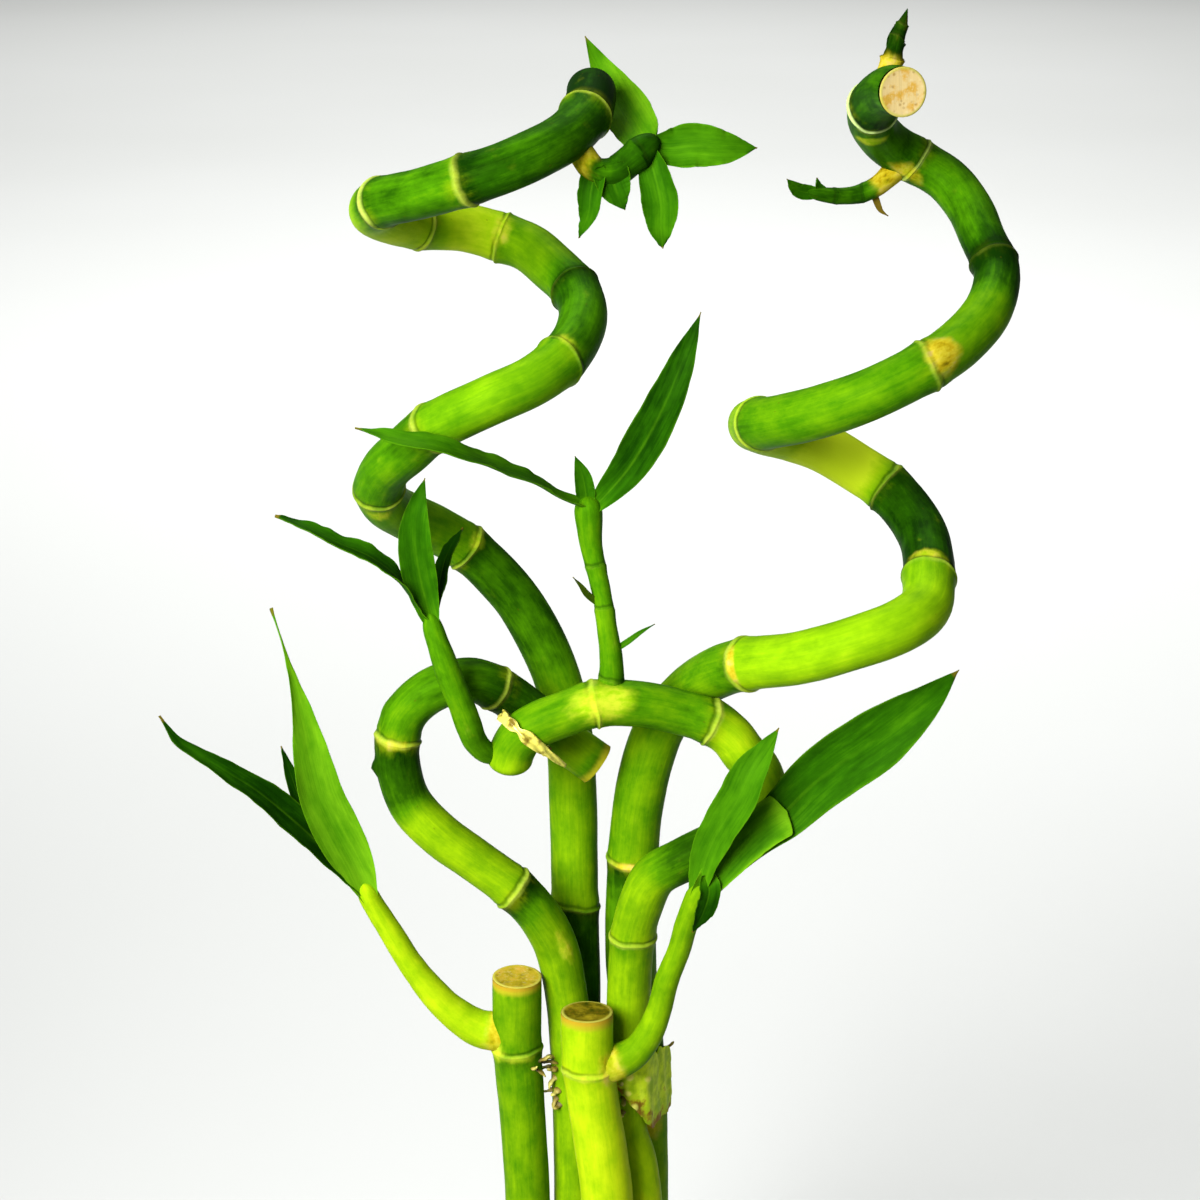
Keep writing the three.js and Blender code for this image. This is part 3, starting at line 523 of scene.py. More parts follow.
class Build:
    """Gathers grids of points, with a material and attributes for each, into one mesh.

    Flow is where a point lies on the skin rolled out straight, so that streaks run along the piece.
    """

    def __init__(self):
        self.points, self.faces, self.slots = [], [], []
        self.values = {name: [] for name in ATTRIBUTES}
        self.flow = []
        self.count = 0

    def grid(self, points, slot=0, closed=True, flow=None, flip=False, **attributes):
        rows, columns = points.shape[:2]
        index = np.arange(rows * columns).reshape(rows, columns) + self.count
        if closed:
            index = np.concatenate([index, index[:, :1]], 1)
        quads = np.stack([index[:-1, :-1], index[:-1, 1:], index[1:, 1:], index[1:, :-1]], -1).reshape(-1, 4)
        self.faces.append(quads[:, ::-1] if flip else quads)
        self.slots.append(np.full(len(quads), slot))
        self.points.append(points.reshape(-1, 3))
        self.flow.append(points.reshape(-1, 3) if flow is None else flow.reshape(-1, 3))
        for name in ATTRIBUTES:
            value = np.broadcast_to(attributes.get(name, 0.0), (rows, columns))
            self.values[name].append(value.reshape(-1))
        self.count += rows * columns

    def cap(self, row, **looks):
        """A fan that closes the end of a tube."""
        self.grid(np.stack([row, np.broadcast_to(row.mean(0), row.shape)]), **looks)

    def caps(self, rows, flip=False, reach=1.0, **looks):
        """Fans at both ends of a tube."""
        self.cap(rows[0], flip=not flip, **looks)
        self.cap(rows[-1], flip=flip, lengthwise=reach, **looks)

    def object(self, name, materials):
        mesh = bpy.data.meshes.new(name)
        points = np.vstack(self.points) * MM
        faces = np.vstack(self.faces)
        mesh.from_pydata(points.tolist(), [], faces.tolist())
        for material in materials:
            mesh.materials.append(material)
        mesh.polygons.foreach_set("material_index", np.concatenate(self.slots).astype(np.int32))
        mesh.polygons.foreach_set("use_smooth", np.ones(len(faces), bool))
        for attribute, parts in self.values.items():
            layer = mesh.attributes.new(attribute, "FLOAT", "POINT")
            layer.data.foreach_set("value", np.concatenate(parts).astype(np.float32))
        flow = mesh.attributes.new("flow", "FLOAT_VECTOR", "POINT")
        flow.data.foreach_set("vector", (np.vstack(self.flow) / 10).astype(np.float32).ravel())
        mesh.update()
        made = bpy.data.objects.new(name, mesh)
        bpy.context.scene.collection.objects.link(made)
        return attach(made, "root")


# Scar rings and patches


def ring_places(cane, path):
    """Where along a cane its rings lie."""
    places = np.array([path.length_at_point(n + 1) for n in cane["joints"]])
    for number, past, _, _ in cane.get("dips", []):
        places[number] += past
    return places


def ring_dips(cane, path, joints, theta):
    """How far each ring of a cane dips towards its foot, at each turn round the cane."""
    dips = [np.zeros(len(theta)) for _ in joints]
    for number, _, depth, turn in cane.get("dips", []):
        at = joints[number : number + 1]
        _, side, third = (v[0] for v in path.frame(at))
        to_eye = EYE - path.at(at)[0]
        middle = math.atan2(to_eye @ third, to_eye @ side) + math.radians(turn)
        away = (theta - middle + np.pi) % (2 * np.pi) - np.pi
        dips[number] = -depth * np.exp(-np.abs(away) / DIP_REACH)
    return dips


def ring_distance(s, theta, joints, seed, dips=None):
    """Signed length from the nearest scar ring, which lies aslant and a little wavy round the cane."""
    random = np.random.default_rng(seed)
    nearest = np.full((len(s), 1), NO_RING)
    for number, joint in enumerate(joints):
        lean = RING_TILT * np.cos(theta - random.uniform(0, PHASE)) * random.uniform(0.3, 1)
        lean += 0.18 * np.sin(3 * theta + random.uniform(0, PHASE)) + 0.1 * np.sin(7 * theta)
        off = s[:, None] - joint - lean - (dips[number] if dips else 0)
        nearest = np.where(np.abs(off) < np.abs(nearest), off, nearest)
    return nearest


def ring_looks(off, bright):
    return {"ring": np.abs(off), "past": np.clip(off / 0.4, -1, 1), "bright": bright}


def ridge(off):
    """Height of a scar ring: a thin lip with a small groove on its upper side."""
    lip = 0.7 * np.exp(-((off / 0.35) ** 2)) + 0.3 * np.exp(-((off / 1.1) ** 2))
    return RING_HEIGHT * lip - GROOVE_DEPTH * np.exp(-(((off - 1.0) / 0.45) ** 2))


def skin_place(path, place, turn):
    """The middle of a cane at a place, the way along it, and the way out at a turn from the viewer's side."""
    at = np.array([path.length_at_point(place + 1)])
    tangent, centre = path.frame(at)[0][0], path.at(at)[0]
    to_eye = EYE - centre
    out = unit(to_eye - (to_eye @ tangent) * tangent)
    return centre, tangent, swung(out, tangent, math.radians(turn))


def reach_from(points, path, radius, place, turn, half_length, half_width):
    """How far points lie from a place on a cane's skin, 1 at the edge of an oval of the given halves."""
    centre, tangent, out = skin_place(path, place, turn)
    off = points - (centre + radius * out)
    lengthwise = off @ tangent
    sideways = np.linalg.norm(off - lengthwise[..., None] * tangent, axis=-1)
    return np.sqrt((lengthwise / half_length) ** 2 + (sideways / half_width) ** 2)


def scar_shares(points, path, cane):
    """How far inside a pale patch each point lies, 0 from its edge on, and how rusty that patch is."""
    share, rust = np.zeros(points.shape[:2]), np.zeros(points.shape[:2])
    for *where, strength, rusty in cane.get("scars", []):
        here = strength * np.clip(1.3 - reach_from(points, path, cane["radii"][0], *where), 0, 1)
        rust = np.where(here > share, rusty, rust)
        share = np.maximum(share, here)
    return share, rust


def tones_along(cane, path, s, off, joints):
    """Lightness along a cane, partly its own and partly painted light and shade: each length has its own,
    and each ring's painted shade darkens the skin on its two sides.
    """
    tones, rings = np.array(cane["tones"]), np.array(cane["rings"])
    nearest = np.abs(s[:, None] - joints[None]).argmin(1)
    past_ring = (off > 0).mean(1) > 0.5
    tone = tones[nearest + past_ring][:, None]
    blend = np.clip(np.abs(off) / TONE_BLEND_LENGTH, 0, 1)
    tone = tone * blend + (1 - blend) * (0.7 * tone + 0.3 * tones.mean())
    # Painted shade of each ring's lip, on the skin just below or just above it
    shade = np.where(off > 0, rings[nearest, 2][:, None], rings[nearest, 1][:, None])
    tone = tone - shade * np.exp(-np.abs(off) / SHADE_LENGTH)
    for first, last, change in cane.get("shaded", []):
        low, high = path.length_at_point(first + 1), path.length_at_point(last + 1)
        inside = 1 - np.abs(s - (low + high) / 2) / ((high - low) / 2)
        tone = tone + change * np.clip(1.6 * inside, 0, 1)[:, None]
    return tone, rings[nearest, 0][:, None]


# Canes


def cane_path(name):
    cane = CANES[name]
    base = np.array([*cane["foot"], VASE_FLOOR + GAP], float)
    return Path([base, *[seen(p) for p in cane["route"]]])


def cane_stations(cane, path, joints):
    """Lengths at which a cane gets a ring of points, ever closer towards the end of a green knob."""
    s = stations(path.length, CANE_STEP, joints, RING_STEP, RING_REACH)
    if cane["cut"] is not None:
        return s
    closing = KNOB_LENGTH * (1 - np.linspace(0, 0.999, 16)) ** 1.5
    return np.concatenate([s[s < path.length - KNOB_LENGTH - RING_STEP], path.length - closing])


def cane_radius(cane, path, s, theta, off, joints, seed):
    """A cane's radius with its rings, swollen joints, unevenness and bumps, closing over a green knob."""
    radius = spread_along(cane["radii"], s / path.length)[:, None] + ridge(off)
    near = np.abs(s[:, None] - joints[None]).min(1)
    radius = radius + (JOINT_SWELLING * np.clip(1 - near / JOINT_SWELLING_LENGTH, 0, 1))[:, None]
    radius = radius + wobble(s, seed, 0.1, 47)[:, None] + 0.09 * np.cos(2 * theta + seed)[None]
    if cane["cut"] is None:
        left = np.clip((path.length - s) / KNOB_LENGTH, 0, 1)
        radius = radius * np.sqrt(1 - (1 - left) ** 2.4)[:, None]
    points = tube_points(path, s, theta, radius)
    for *where, height in cane.get("nubs", []):
        radius = radius + height * np.exp(-(reach_from(points, path, cane["radii"][0], *where) ** 2))
    return radius


def add_cut_end(build, path, radius, dryness, seed):
    """A sawn end: a bevelled rim and a face with a slightly sunken middle."""
    tangent, side, third = (v[0] for v in path.frame(np.array([path.length])))
    theta = around(CANE_SIDES)
    shares = np.array([1.0, 0.97, 0.93, 0.88, 0.8, 0.68, 0.54, 0.4, 0.26, 0.12, 0.01])
    sink = np.array([0.0, 0.14, 0.2, 0.16, 0.1, 0.06, 0.02, 0.0, -0.02, -0.03, -0.03])
    rough = wobble(theta, seed, 0.12, 2 * np.pi)
    ring = np.cos(theta)[:, None] * side + np.sin(theta)[:, None] * third
    lift = sink[:, None] + rough[None, :] * shares[:, None]
    points = path.line[-1] + radius * shares[:, None, None] * ring[None] + lift[..., None] * tangent
    build.grid(points, cut=1.0, dry=dryness, across=shares[:, None], tone=0.6, ring=FAR)


def add_cane(name, seed):
    cane = CANES[name]
    path = cane_path(name)
    joints = ring_places(cane, path)
    s = cane_stations(cane, path, joints)
    theta = around(CANE_SIDES)
    off = ring_distance(s, theta, joints, seed, ring_dips(cane, path, joints, theta))
    radius = cane_radius(cane, path, s, theta, off, joints, seed)
    points = tube_points(path, s, theta, radius)
    tone, bright = tones_along(cane, path, s, off, joints)
    scar, rust = scar_shares(points, path, cane)
    dry = cane.get("band", 0) * np.exp(-(((path.length - s) / BAND_LENGTH) ** 2))[:, None]
    flow = revolved(6, theta, s[:, None])
    build = Build()
    build.grid(points, flow=flow, tone=tone, scar=scar, rust=rust, dry=dry, **ring_looks(off, bright))
    if cane["cut"] is not None:
        add_cut_end(build, path, float(radius[-1].mean()), cane["cut"], seed)
    made = build.object("fine_" + name, [CANE_SKIN])
    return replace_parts(made, name)


# Shoots


def half_width(blade, t, seed):
    widest, base = blade["widest"], blade["base"]
    rising = base + (1 - base) * np.sin(np.pi / 2 * np.clip(t / widest, 0, 1)) ** blade.get("rise", 1)
    falling = np.cos(np.pi / 2 * np.clip((t - widest) / (1 - widest), 0, 1) ** FALL) ** blade.get("point", 1)
    half = blade["width"] / 2 * np.where(t < widest, rising, falling)
    half = half * (1 + wobble(t, seed, 0.02, 0.37))
    return np.maximum(half, TIP_WIDTH / 2)


def blade_frame(blade, path, t):
    """Middles of a blade and the ways across and out of it, at shares t of its length."""
    centre, (tangent, _, _) = path.at(t * path.length), path.frame(t * path.length)
    face, turn = unit(np.array(blade["face"], float)), blade.get("turn", 0)
    faces = [swung(face, along, math.radians(turn * share**2)) for along, share in zip(tangent, t)]
    across = unit(np.cross(np.array(faces), tangent))
    return centre, across, np.cross(tangent, across)


def blade_section(blade, t, u, half, seed):
    """How far aside each point of a blade lies, and how high its upper and lower sides are."""
    big = min(blade["width"] / 8, 1.0)
    t = t[:, None]
    curl = 0.5 + 0.9 * np.exp(-t / 0.08)
    angle = u[None] * curl
    sideways = np.sin(angle) / curl * half
    lift = (1 - np.cos(angle)) / curl * half * 1.05
    waves = wobble(t, seed + 5, 0.5 * big, 0.45) * np.abs(u)[None] ** 3 * np.sign(u)[None]
    waves = waves + wobble(t, seed + 9, 0.3 * big, 0.23) * np.abs(u)[None] ** 4
    rib = 0.3 * big * np.exp(-((u / 0.09) ** 2))[None] * (1 - t)
    veins = 0.035 * big * np.cos(u * 26)[None] * np.sin(np.pi * t)
    thickness = LEAF_THICKNESS * (0.25 + 0.75 * np.sqrt(1 - 0.97 * u**2))[None]
    middle = lift + waves
    return sideways, middle + thickness / 2 - rib + veins, middle - thickness / 2 - 0.8 * rib


def blade_tone(blade, stem_tone, share, length, u):
    """A blade's lightness: nearly its stem's at the base, its own further out, and its margin's."""
    tone = blade["tone"] + (stem_tone + 0.12 - blade["tone"]) * np.exp(-share * length / 5)
    margin = np.maximum(np.abs(u) ** 6, np.exp(-(((1 - share) / 0.13) ** 2)))
    return tone + blade.get("margin", 0) * margin


def add_blade(build, blade, stem_tone, seed):
    """A blade curled along its rib, thicker at the rib, with waves along its edges."""
    path = route_path(blade["route"])
    t = np.linspace(0, 1, LEAF_STEPS)
    u = np.sin(np.linspace(-np.pi / 2, np.pi / 2, LEAF_POINTS))
    half = half_width(blade, t, seed)[:, None]
    centre, across, normal = blade_frame(blade, path, t)
    sideways, upper, lower = blade_section(blade, t, u, half, seed)
    place = centre[:, None] + sideways[..., None] * across[:, None]
    top = place + upper[..., None] * normal[:, None]
    under = place + lower[..., None] * normal[:, None]
    loop = np.concatenate([under, top[:, ::-1]], 1)
    u = np.concatenate([u, u[::-1]])[None]
    below = np.concatenate([np.ones(LEAF_POINTS), np.zeros(LEAF_POINTS)])[None]
    t = t[:, None]
    flow = together(u * half, below * 3 + seed, t * path.length)
    looks = {"slot": 1, "across": u, "dry": blade.get("dry", 0), "cut": below}
    withered = 0.95 if "margin" in blade else 1
    tone = blade_tone(blade, stem_tone, t, path.length, u)
    build.grid(loop, flow=flow, lengthwise=withered * t, tone=tone, **looks)
    build.caps(loop, reach=withered, tone=blade["tone"], **looks)


def add_stem(build, shoot, seed):
    path = route_path(shoot["stem"])
    joints = np.array(shoot.get("rings", [])) * path.length
    s = stations(path.length, STEM_STEP, [*joints, path.length], 0.15, 1.2)
    theta = around(STEM_SIDES)
    off = ring_distance(s, theta, joints, seed + 3) * 1.4
    radius = spread_along(shoot["radii"], s / path.length)[:, None]
    radius = radius * (1 + 0.05 * np.exp(-((off / 2) ** 2))) + 0.22 * ridge(off)
    radius = radius * (1 + shoot.get("flare", 0) * np.where(off < 0, np.exp(off / 1.1), 0))
    radius = radius + wobble(s, seed, 0.07, 17)[:, None]
    radius = radius * np.sqrt(1 - np.clip(1 - (path.length - s) / STEM_CLOSING, 0, 0.999) ** 2.2)[:, None]
    points = tube_points(path, s, theta, radius)
    flow = revolved(3, theta, s[:, None] + 99)
    # Painted shade on the stem just past each ring
    tone = shoot["tone"] - 0.14 * np.exp(-np.where(off > 0, off, NO_RING) / 2.5)
    scar = (np.exp(-np.clip(s - shoot["collar"], 0, None) / 1.5) * shoot["collar_dry"])[:, None]
    looks = ring_looks(off, shoot.get("bright", 0))
    build.grid(points, flow=flow, tone=tone, scar=scar, rust=shoot.get("rust", 0.5), **looks)
    build.cap(points[-1], tone=0.4, ring=FAR)


def add_shoot(name, seed):
    shoot = SHOOTS[name]
    build = Build()
    add_stem(build, shoot, seed)
    for number, blade in enumerate(shoot["leaves"]):
        add_blade(build, blade, shoot["tone"], seed + 11 * number)
    if "clasp" in shoot:
        add_blade(build, shoot["clasp"], shoot["clasp"]["tone"], seed + 90)
    made = build.object("fine_" + name, [CANE_SKIN, LEAF_BLADE])
    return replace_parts(made, name)


# Vase, pebbles and tie


def outer_radius(height):
    share = height / VASE_HEIGHT
    return VASE_FOOT_RADIUS + share * (VASE_RIM_RADIUS - VASE_FOOT_RADIUS)


def inner_radius(height):
    return outer_radius(height) - VASE_WALL


def vase_profile():
    """[radius, height] out under the foot, round its edge, up the side, over the rim and down inside."""
    rim = VASE_WALL / 2
    profile = [(0.01, 0), (20, 0), (VASE_FOOT_RADIUS - FOOT_ROUNDING, 0)]
    for k in range(1, 9):
        turn = k / 8 * math.pi / 2
        out = VASE_FOOT_RADIUS - FOOT_ROUNDING + FOOT_ROUNDING * math.sin(turn)
        profile.append((out, FOOT_ROUNDING * (1 - math.cos(turn))))
    for height in np.linspace(FOOT_ROUNDING + 4, VASE_HEIGHT - rim, 16):
        profile.append((outer_radius(height), height))
    for k in range(1, 12):
        turn = k / 12 * math.pi
        out = VASE_RIM_RADIUS - rim + rim * math.cos(turn)
        profile.append((out, VASE_HEIGHT - rim + rim * math.sin(turn)))
    for height in np.linspace(VASE_HEIGHT - rim, VASE_FLOOR, 8):
        profile.append((inner_radius(height), height))
    profile.append((0.01, VASE_FLOOR))
    return np.array(profile)


def add_vase():
    r, z = vase_profile().T[..., None]
    build = Build()
    build.grid(revolved(r, around(VASE_SIDES), z))
    made = build.object("fine_vase", [GLAZE])
    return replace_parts(made, "vase")


def park_miller(seed):
    """The same even random numbers as the part's source draws for its pebbles."""
    state, modulus = seed, 2147483647
    while True:
        state = state * 16807 % modulus
        yield state / modulus


def ball(detail):
    """Unit directions of a latitude and longitude grid."""
    latitude = np.linspace(-np.pi / 2 + 0.02, np.pi / 2 - 0.02, detail)
    a, b = np.meshgrid(latitude, around(detail * 2), indexing="ij")
    return np.stack([np.cos(a) * np.cos(b), np.cos(a) * np.sin(b), np.sin(a)], -1)


def pebble_points(directions, sizes, seed):
    """A worn stone: a flattened ball with broad lumps."""
    random = np.random.default_rng(seed)
    lumps = np.ones(directions.shape[:2])
    for _ in range(5):
        axis = unit(random.normal(size=3))
        lumps = lumps + 0.05 * np.sin(directions @ axis * random.uniform(2, 4.5) + random.uniform(0, PHASE))
    return directions * lumps[..., None] * np.array(sizes)


def turned(points, axis, angle):
    return points @ np.array(Matrix.Rotation(angle, 3, axis)).T


def on_bed(distance, angle, lift):
    return np.array([distance * math.cos(angle), distance * math.sin(angle), BED_TOP + lift])


def add_big_pebbles(build):
    """Pebbles from the middle outwards, each a golden angle on from the last, as in the part's source."""
    draw = park_miller(PEBBLE_SEED)
    reach = inner_radius(BED_TOP) - GAP - PEBBLE_RADIUS * 1.02
    for i in range(PEBBLE_COUNT):
        distance = reach * math.sqrt((i + 0.5) / PEBBLE_COUNT)
        angle = i * math.pi * (3 - math.sqrt(5))
        length = PEBBLE_RADIUS * (1 + PEBBLE_SPREAD * (2 * next(draw) - 1))
        next(draw)
        points = pebble_points(ball(18), (length, length * PEBBLE_NARROWNESS, length * PEBBLE_FLATNESS), i)
        points = turned(points, "X", (next(draw) - 0.5) * PEBBLE_TILT)
        points = turned(points, "Z", next(draw) * math.pi)
        lift = PEBBLE_LIFT + (next(draw) - 0.5) * PEBBLE_HEAVE
        build.grid(points + on_bed(distance, angle, lift), tone=(i * 0.618) % 1)


def add_gravel(build):
    """Small stones that fill the spaces between the pebbles."""
    random = np.random.default_rng(11)
    for i in range(GRAVEL_COUNT):
        distance = (inner_radius(BED_TOP) - 2.6) * math.sqrt(random.uniform(0.02, 1))
        angle = random.uniform(0, PHASE)
        points = pebble_points(ball(9), random.uniform(*GRAVEL_RADII, 3), 100 + i)
        points = points + on_bed(distance, angle, random.uniform(-0.6, 0.8))
        build.grid(points, tone=random.uniform(0, 1))


def add_pebbles():
    build = Build()
    add_big_pebbles(build)
    add_gravel(build)
    low, high = VASE_FLOOR + GAP, BED_TOP
    near, far = inner_radius(VASE_FLOOR) - GAP, inner_radius(BED_TOP) - GAP
    r, z = np.array([[near * 0.01, low], [near, low], [far, high], [far * 0.01, high]]).T[..., None]
    build.grid(revolved(r, around(64), z), tone=0.2)
    made = build.object("fine_pebble_bed", [STONE])
    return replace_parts(made, "pebble_bed")


def strip_row(middle, out, lengthwise, width, place):
    """One cut across the tie: a thin row with folds that change along the strip."""
    shares = np.linspace(-1, 1, 9)
    folds = 0.22 * np.sin(shares * 4.2 + place * 1.3) + 0.12 * np.sin(shares * 9 - place * 2.1)
    folds = folds * min(width / TIE_WIDTH, 1)
    row = middle + width / 2 * shares[:, None] * lengthwise + folds[:, None] * out
    half = TIE_THICKNESS / 2 * 0.75 * out
    return np.concatenate([row - half, (row + half)[::-1]])


def tie_rows():
    """Cuts across the strip, round the end of the heart's right cane and then down its tail."""
    path = cane_path("right_heart_cane")
    centre = path.at(np.array([path.length_at_point(TIE_PLACE)]))[0]
    reach = CANES["right_heart_cane"]["radii"][1] + JOINT_SWELLING + GAP + TIE_SLACK + TIE_THICKNESS / 2
    lengthwise = swung(-VIEW_UP, VIEW_BACK, -TIE_SLOPE)
    rows = []
    for left in np.linspace(1, 0, 120):
        angle = TIE_END + 2 * math.pi * TIE_TURNS * left
        out = swung(VIEW_BACK, lengthwise, angle)
        pinch = 1 - 0.45 * math.exp(-(((angle - TIE_PINCH) / 0.16) ** 2)) - 0.06 * math.sin(angle * 9)
        widened = 1 + 0.22 * math.exp(-(((angle - TIE_WIDEST) / 0.4) ** 2))
        rows.append(strip_row(centre + reach * out, out, lengthwise, TIE_WIDTH * pinch * widened, angle * 3))
    onward = np.cross(out, lengthwise)
    for share in np.linspace(0.04, 1, 30):
        place = centre + reach * out + TIE_TAIL * share * onward - TIE_DROP * share**2 * VIEW_BACK
        width = TIE_WIDTH * (1 - TIE_TAPER * share) * (1 + 0.1 * math.sin(share * 11))
        rows.append(strip_row(place, out, lengthwise, width, 3 * TIE_END - share * 7))
    return np.array(rows)


def add_tie():
    """A crumpled gilt strip, pinched in front, with its tail hanging down."""
    rows = tie_rows()
    build = Build()
    build.grid(rows, flip=True)
    build.caps(rows, flip=True)
    made = build.object("fine_gilt_tie", [GILT])
    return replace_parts(made, "gilt_tie")


# Dried strands on the canes: [place, turn, length, width, lean along the cane, curl in degrees]
DRIED_BITS = [
    ("left_short_cane", [
        [2.74, 36, 2.6, 1.5, 0.2, 70], [2.68, 52, 3, 1.3, -0.2, -60], [2.8, 66, 3.4, 1.7, 0.3, 40],
        [2.72, 84, 4.4, 1.6, 0, -40],
    ]),
    ("left_heart_cane", [
        [1.34, -60, 4, 1.7, 0.3, -110], [1.24, -48, 3.4, 1.9, -0.2, 90], [1.12, -56, 3.6, 1.7, -0.5, -80],
        [1, -44, 3.2, 1.9, -0.6, 60], [0.9, -52, 3.4, 1.6, -0.9, -60], [0.82, -42, 2.6, 1.8, -0.6, 80],
        [1.18, -82, 3.8, 1.5, 0.2, -70], [0.95, -76, 3, 1.3, -0.4, 60],
    ]),
    ("right_heart_cane", [
        [1.95, -8, 3, 1.7, 0.2, 80], [1.75, -2, 2.6, 1.6, -0.4, -70], [1.5, -6, 2.8, 1.7, -0.6, 60],
        [1.86, 46, 1.9, 1.6, 0.3, 30],
    ]),
    ("right_spiral_cane", [
        [1, 84, 3.6, 1.5, 0.4, 50], [0.3, 140, 3, 1.8, -0.9, 40], [0.3, 175, 3, 1.8, -0.9, -50],
    ]),
    ("left_short_cane", [[3, 150, 3, 1.6, -0.2, 60]]),
    ("front_short_cane", [[3, 170, 3.2, 1.6, -0.2, -60]]),
]
STRAND_SIDES = 12
STRAND_STEPS = 22
STRAND_ROOT = 0.9
STRAND_STRAIGHT = 0.3


def strand_rows(random, cane, place, turn, length, width, lean, curl):
    """Rings of points along a strand that starts inside its cane's skin, curled and knobbly."""
    path = cane_path(cane)
    centre, tangent, out = skin_place(path, place, turn)
    radius = spread_along(CANES[cane]["radii"], path.length_at_point(place + 1) / path.length)
    heading = unit(out + lean * tangent)
    side = unit(np.cross(heading, tangent) + random.uniform(-0.3, 0.3) * heading)
    middle = centre + (radius - STRAND_ROOT) * out
    knobs = np.sin(np.linspace(0, random.uniform(9, 14), STRAND_STEPS) + random.uniform(0, PHASE))
    theta = around(STRAND_SIDES)
    rows = []
    for knob, share in zip(1 + 0.2 * knobs, np.linspace(0, 1, STRAND_STEPS)):
        bend = math.radians(curl / STRAND_STEPS) if share > STRAND_STRAIGHT else 0
        heading = unit(swung(heading, side, bend))
        middle = middle + (length + STRAND_ROOT) / STRAND_STEPS * heading
        half = width / 2 * (1.1 - 0.55 * share) * knob * math.sqrt(max(1 - share**6, 0.0004))
        rough = random.uniform(-1, 1, STRAND_SIDES)
        half = half * (1 + 0.14 * np.sin(2 * theta + 3 * share) + 0.05 * rough)
        across = unit(side - (side @ heading) * heading)
        ring = np.cos(theta)[:, None] * across + 0.75 * np.sin(theta)[:, None] * np.cross(across, heading)
        rows.append(middle + half[:, None] * ring)
    return np.array(rows)


def add_dried_bits():
    """Withered roots and bud stumps low on the canes."""
    build = Build()
    strands = [(cane, *strand) for cane, rows in DRIED_BITS for strand in rows]
    for number, strand in enumerate(strands, 300):
        random = np.random.default_rng(number)
        rows = strand_rows(random, *strand)
        tone = random.uniform(0.2, 1)
        build.grid(rows, lengthwise=np.linspace(0, 1, STRAND_STEPS)[:, None], tone=tone)
        build.caps(rows, tone=tone)
    made = build.object("dried_bits", [DRY_HUSK])
    return made


def sheath_middle():
    """The sheath's line, and its points in rows from its upper edge to its ragged lower one."""
    line = smooth_line(np.array(SHEATH_LINE, float), 10)
    lengths = lengths_of(line)
    share = lengths / lengths[-1]
    ragged = 0.7 * np.abs(wobble(share, 5, 1.0, 0.4)) + 0.6 * np.abs(wobble(share, 6, 1.0, 0.13))
    low = spread_along(SHEATH_LOW, share) + ragged
    high = SHEATH_HIGH + wobble(share, 8, 1.6, 0.35)
    rows = np.linspace(0, 1, 48)[:, None]
    up = high + (low - high) * rows
    shifts = 0.4 * wobble(rows, 9, 1.0, 0.3) * share**5
    grid = [
        [seen((a + shift, u, f)) for (a, f), u, shift in zip(line, *row)]
        for row in zip(up, shifts)
    ]
    return line, share, rows, up, np.array(grid)


def add_old_sheath():
    """A withered sheath, wrapped over the right heart cane and round to the right spiral cane behind it."""
    line, share, rows, up, grid = sheath_middle()
    out = unit(np.cross(np.gradient(grid, axis=0), np.gradient(grid, axis=1)))
    out = out * np.sign((out * VIEW_BACK).sum(-1).mean())
    swell = 0.4 * np.sin(np.pi * rows) * np.sin(np.pi * share)
    swell = swell + 0.14 * np.sin(share * 42 + 2 * np.sin(rows * 4)) * (0.4 + rows)
    lumps = np.zeros(up.shape)
    for across, height, size in SHEATH_LUMPS:
        lumps = np.maximum(lumps, np.exp(-(((line[:, 0] - across) ** 2 + (up - height) ** 2) / size**2)))
    front = grid + (swell + 0.8 * lumps + 0.3)[..., None] * out
    loop = np.concatenate([front, (grid - 0.2 * out)[:, ::-1]], 1)
    bright = np.concatenate([lumps, lumps[:, ::-1]], 1)
    build = Build()
    build.grid(loop, lengthwise=rows, flip=True, across=np.concatenate([share, share[::-1]]), bright=bright)
    for row, flipped in ((0, False), (-1, True)):
        strip = np.stack([loop[row, : len(share)], loop[row, len(share) :][::-1]])
        build.grid(strip, closed=False, flip=flipped, lengthwise=float(row != 0), across=share)
    made = build.object("old_sheath", [OLD_SHEATH])
    return made


# Materials

SKIN_GREENS = [
    (0, (0.003, 0.02, 0.0004)), (0.16, (0.012, 0.06, 0.0006)), (0.32, (0.04, 0.15, 0.001)),
    (0.48, (0.095, 0.235, 0.0015)), (0.64, (0.17, 0.345, 0.002)), (0.8, (0.27, 0.44, 0.004)),
    (1, (0.44, 0.58, 0.012)),
]
LEAF_GREENS = [
    (0, (0.0012, 0.012, 0.0003)), (0.25, (0.005, 0.036, 0.0005)), (0.5, (0.019, 0.1, 0.001)),
    (0.75, (0.052, 0.19, 0.002)), (1, (0.12, 0.31, 0.005)),
]
RUSTS = [
    (0.28, (0.12, 0.08, 0.002)), (0.4, (0.33, 0.24, 0.005)), (0.54, (0.45, 0.37, 0.02)),
    (0.7, (0.47, 0.32, 0.09)),
]
CUT_COLOURS = [
    (0, (0.5, 0.38, 0.16)), (0.12, (0.46, 0.27, 0.045)), (0.45, (0.3, 0.23, 0.01)),
    (0.8, (0.085, 0.07, 0.002)), (1, (0.02, 0.03, 0.001)),
]
PEBBLE_COLOURS = [
    (0, (0.30, 0.26, 0.22)), (0.35, (0.50, 0.47, 0.42)), (0.7, (0.62, 0.55, 0.45)), (1, (0.74, 0.72, 0.68)),
]
HUSK_COLOURS = [(0.25, (0.02, 0.013, 0.002)), (0.5, (0.17, 0.12, 0.005)), (0.85, (0.5, 0.46, 0.1))]


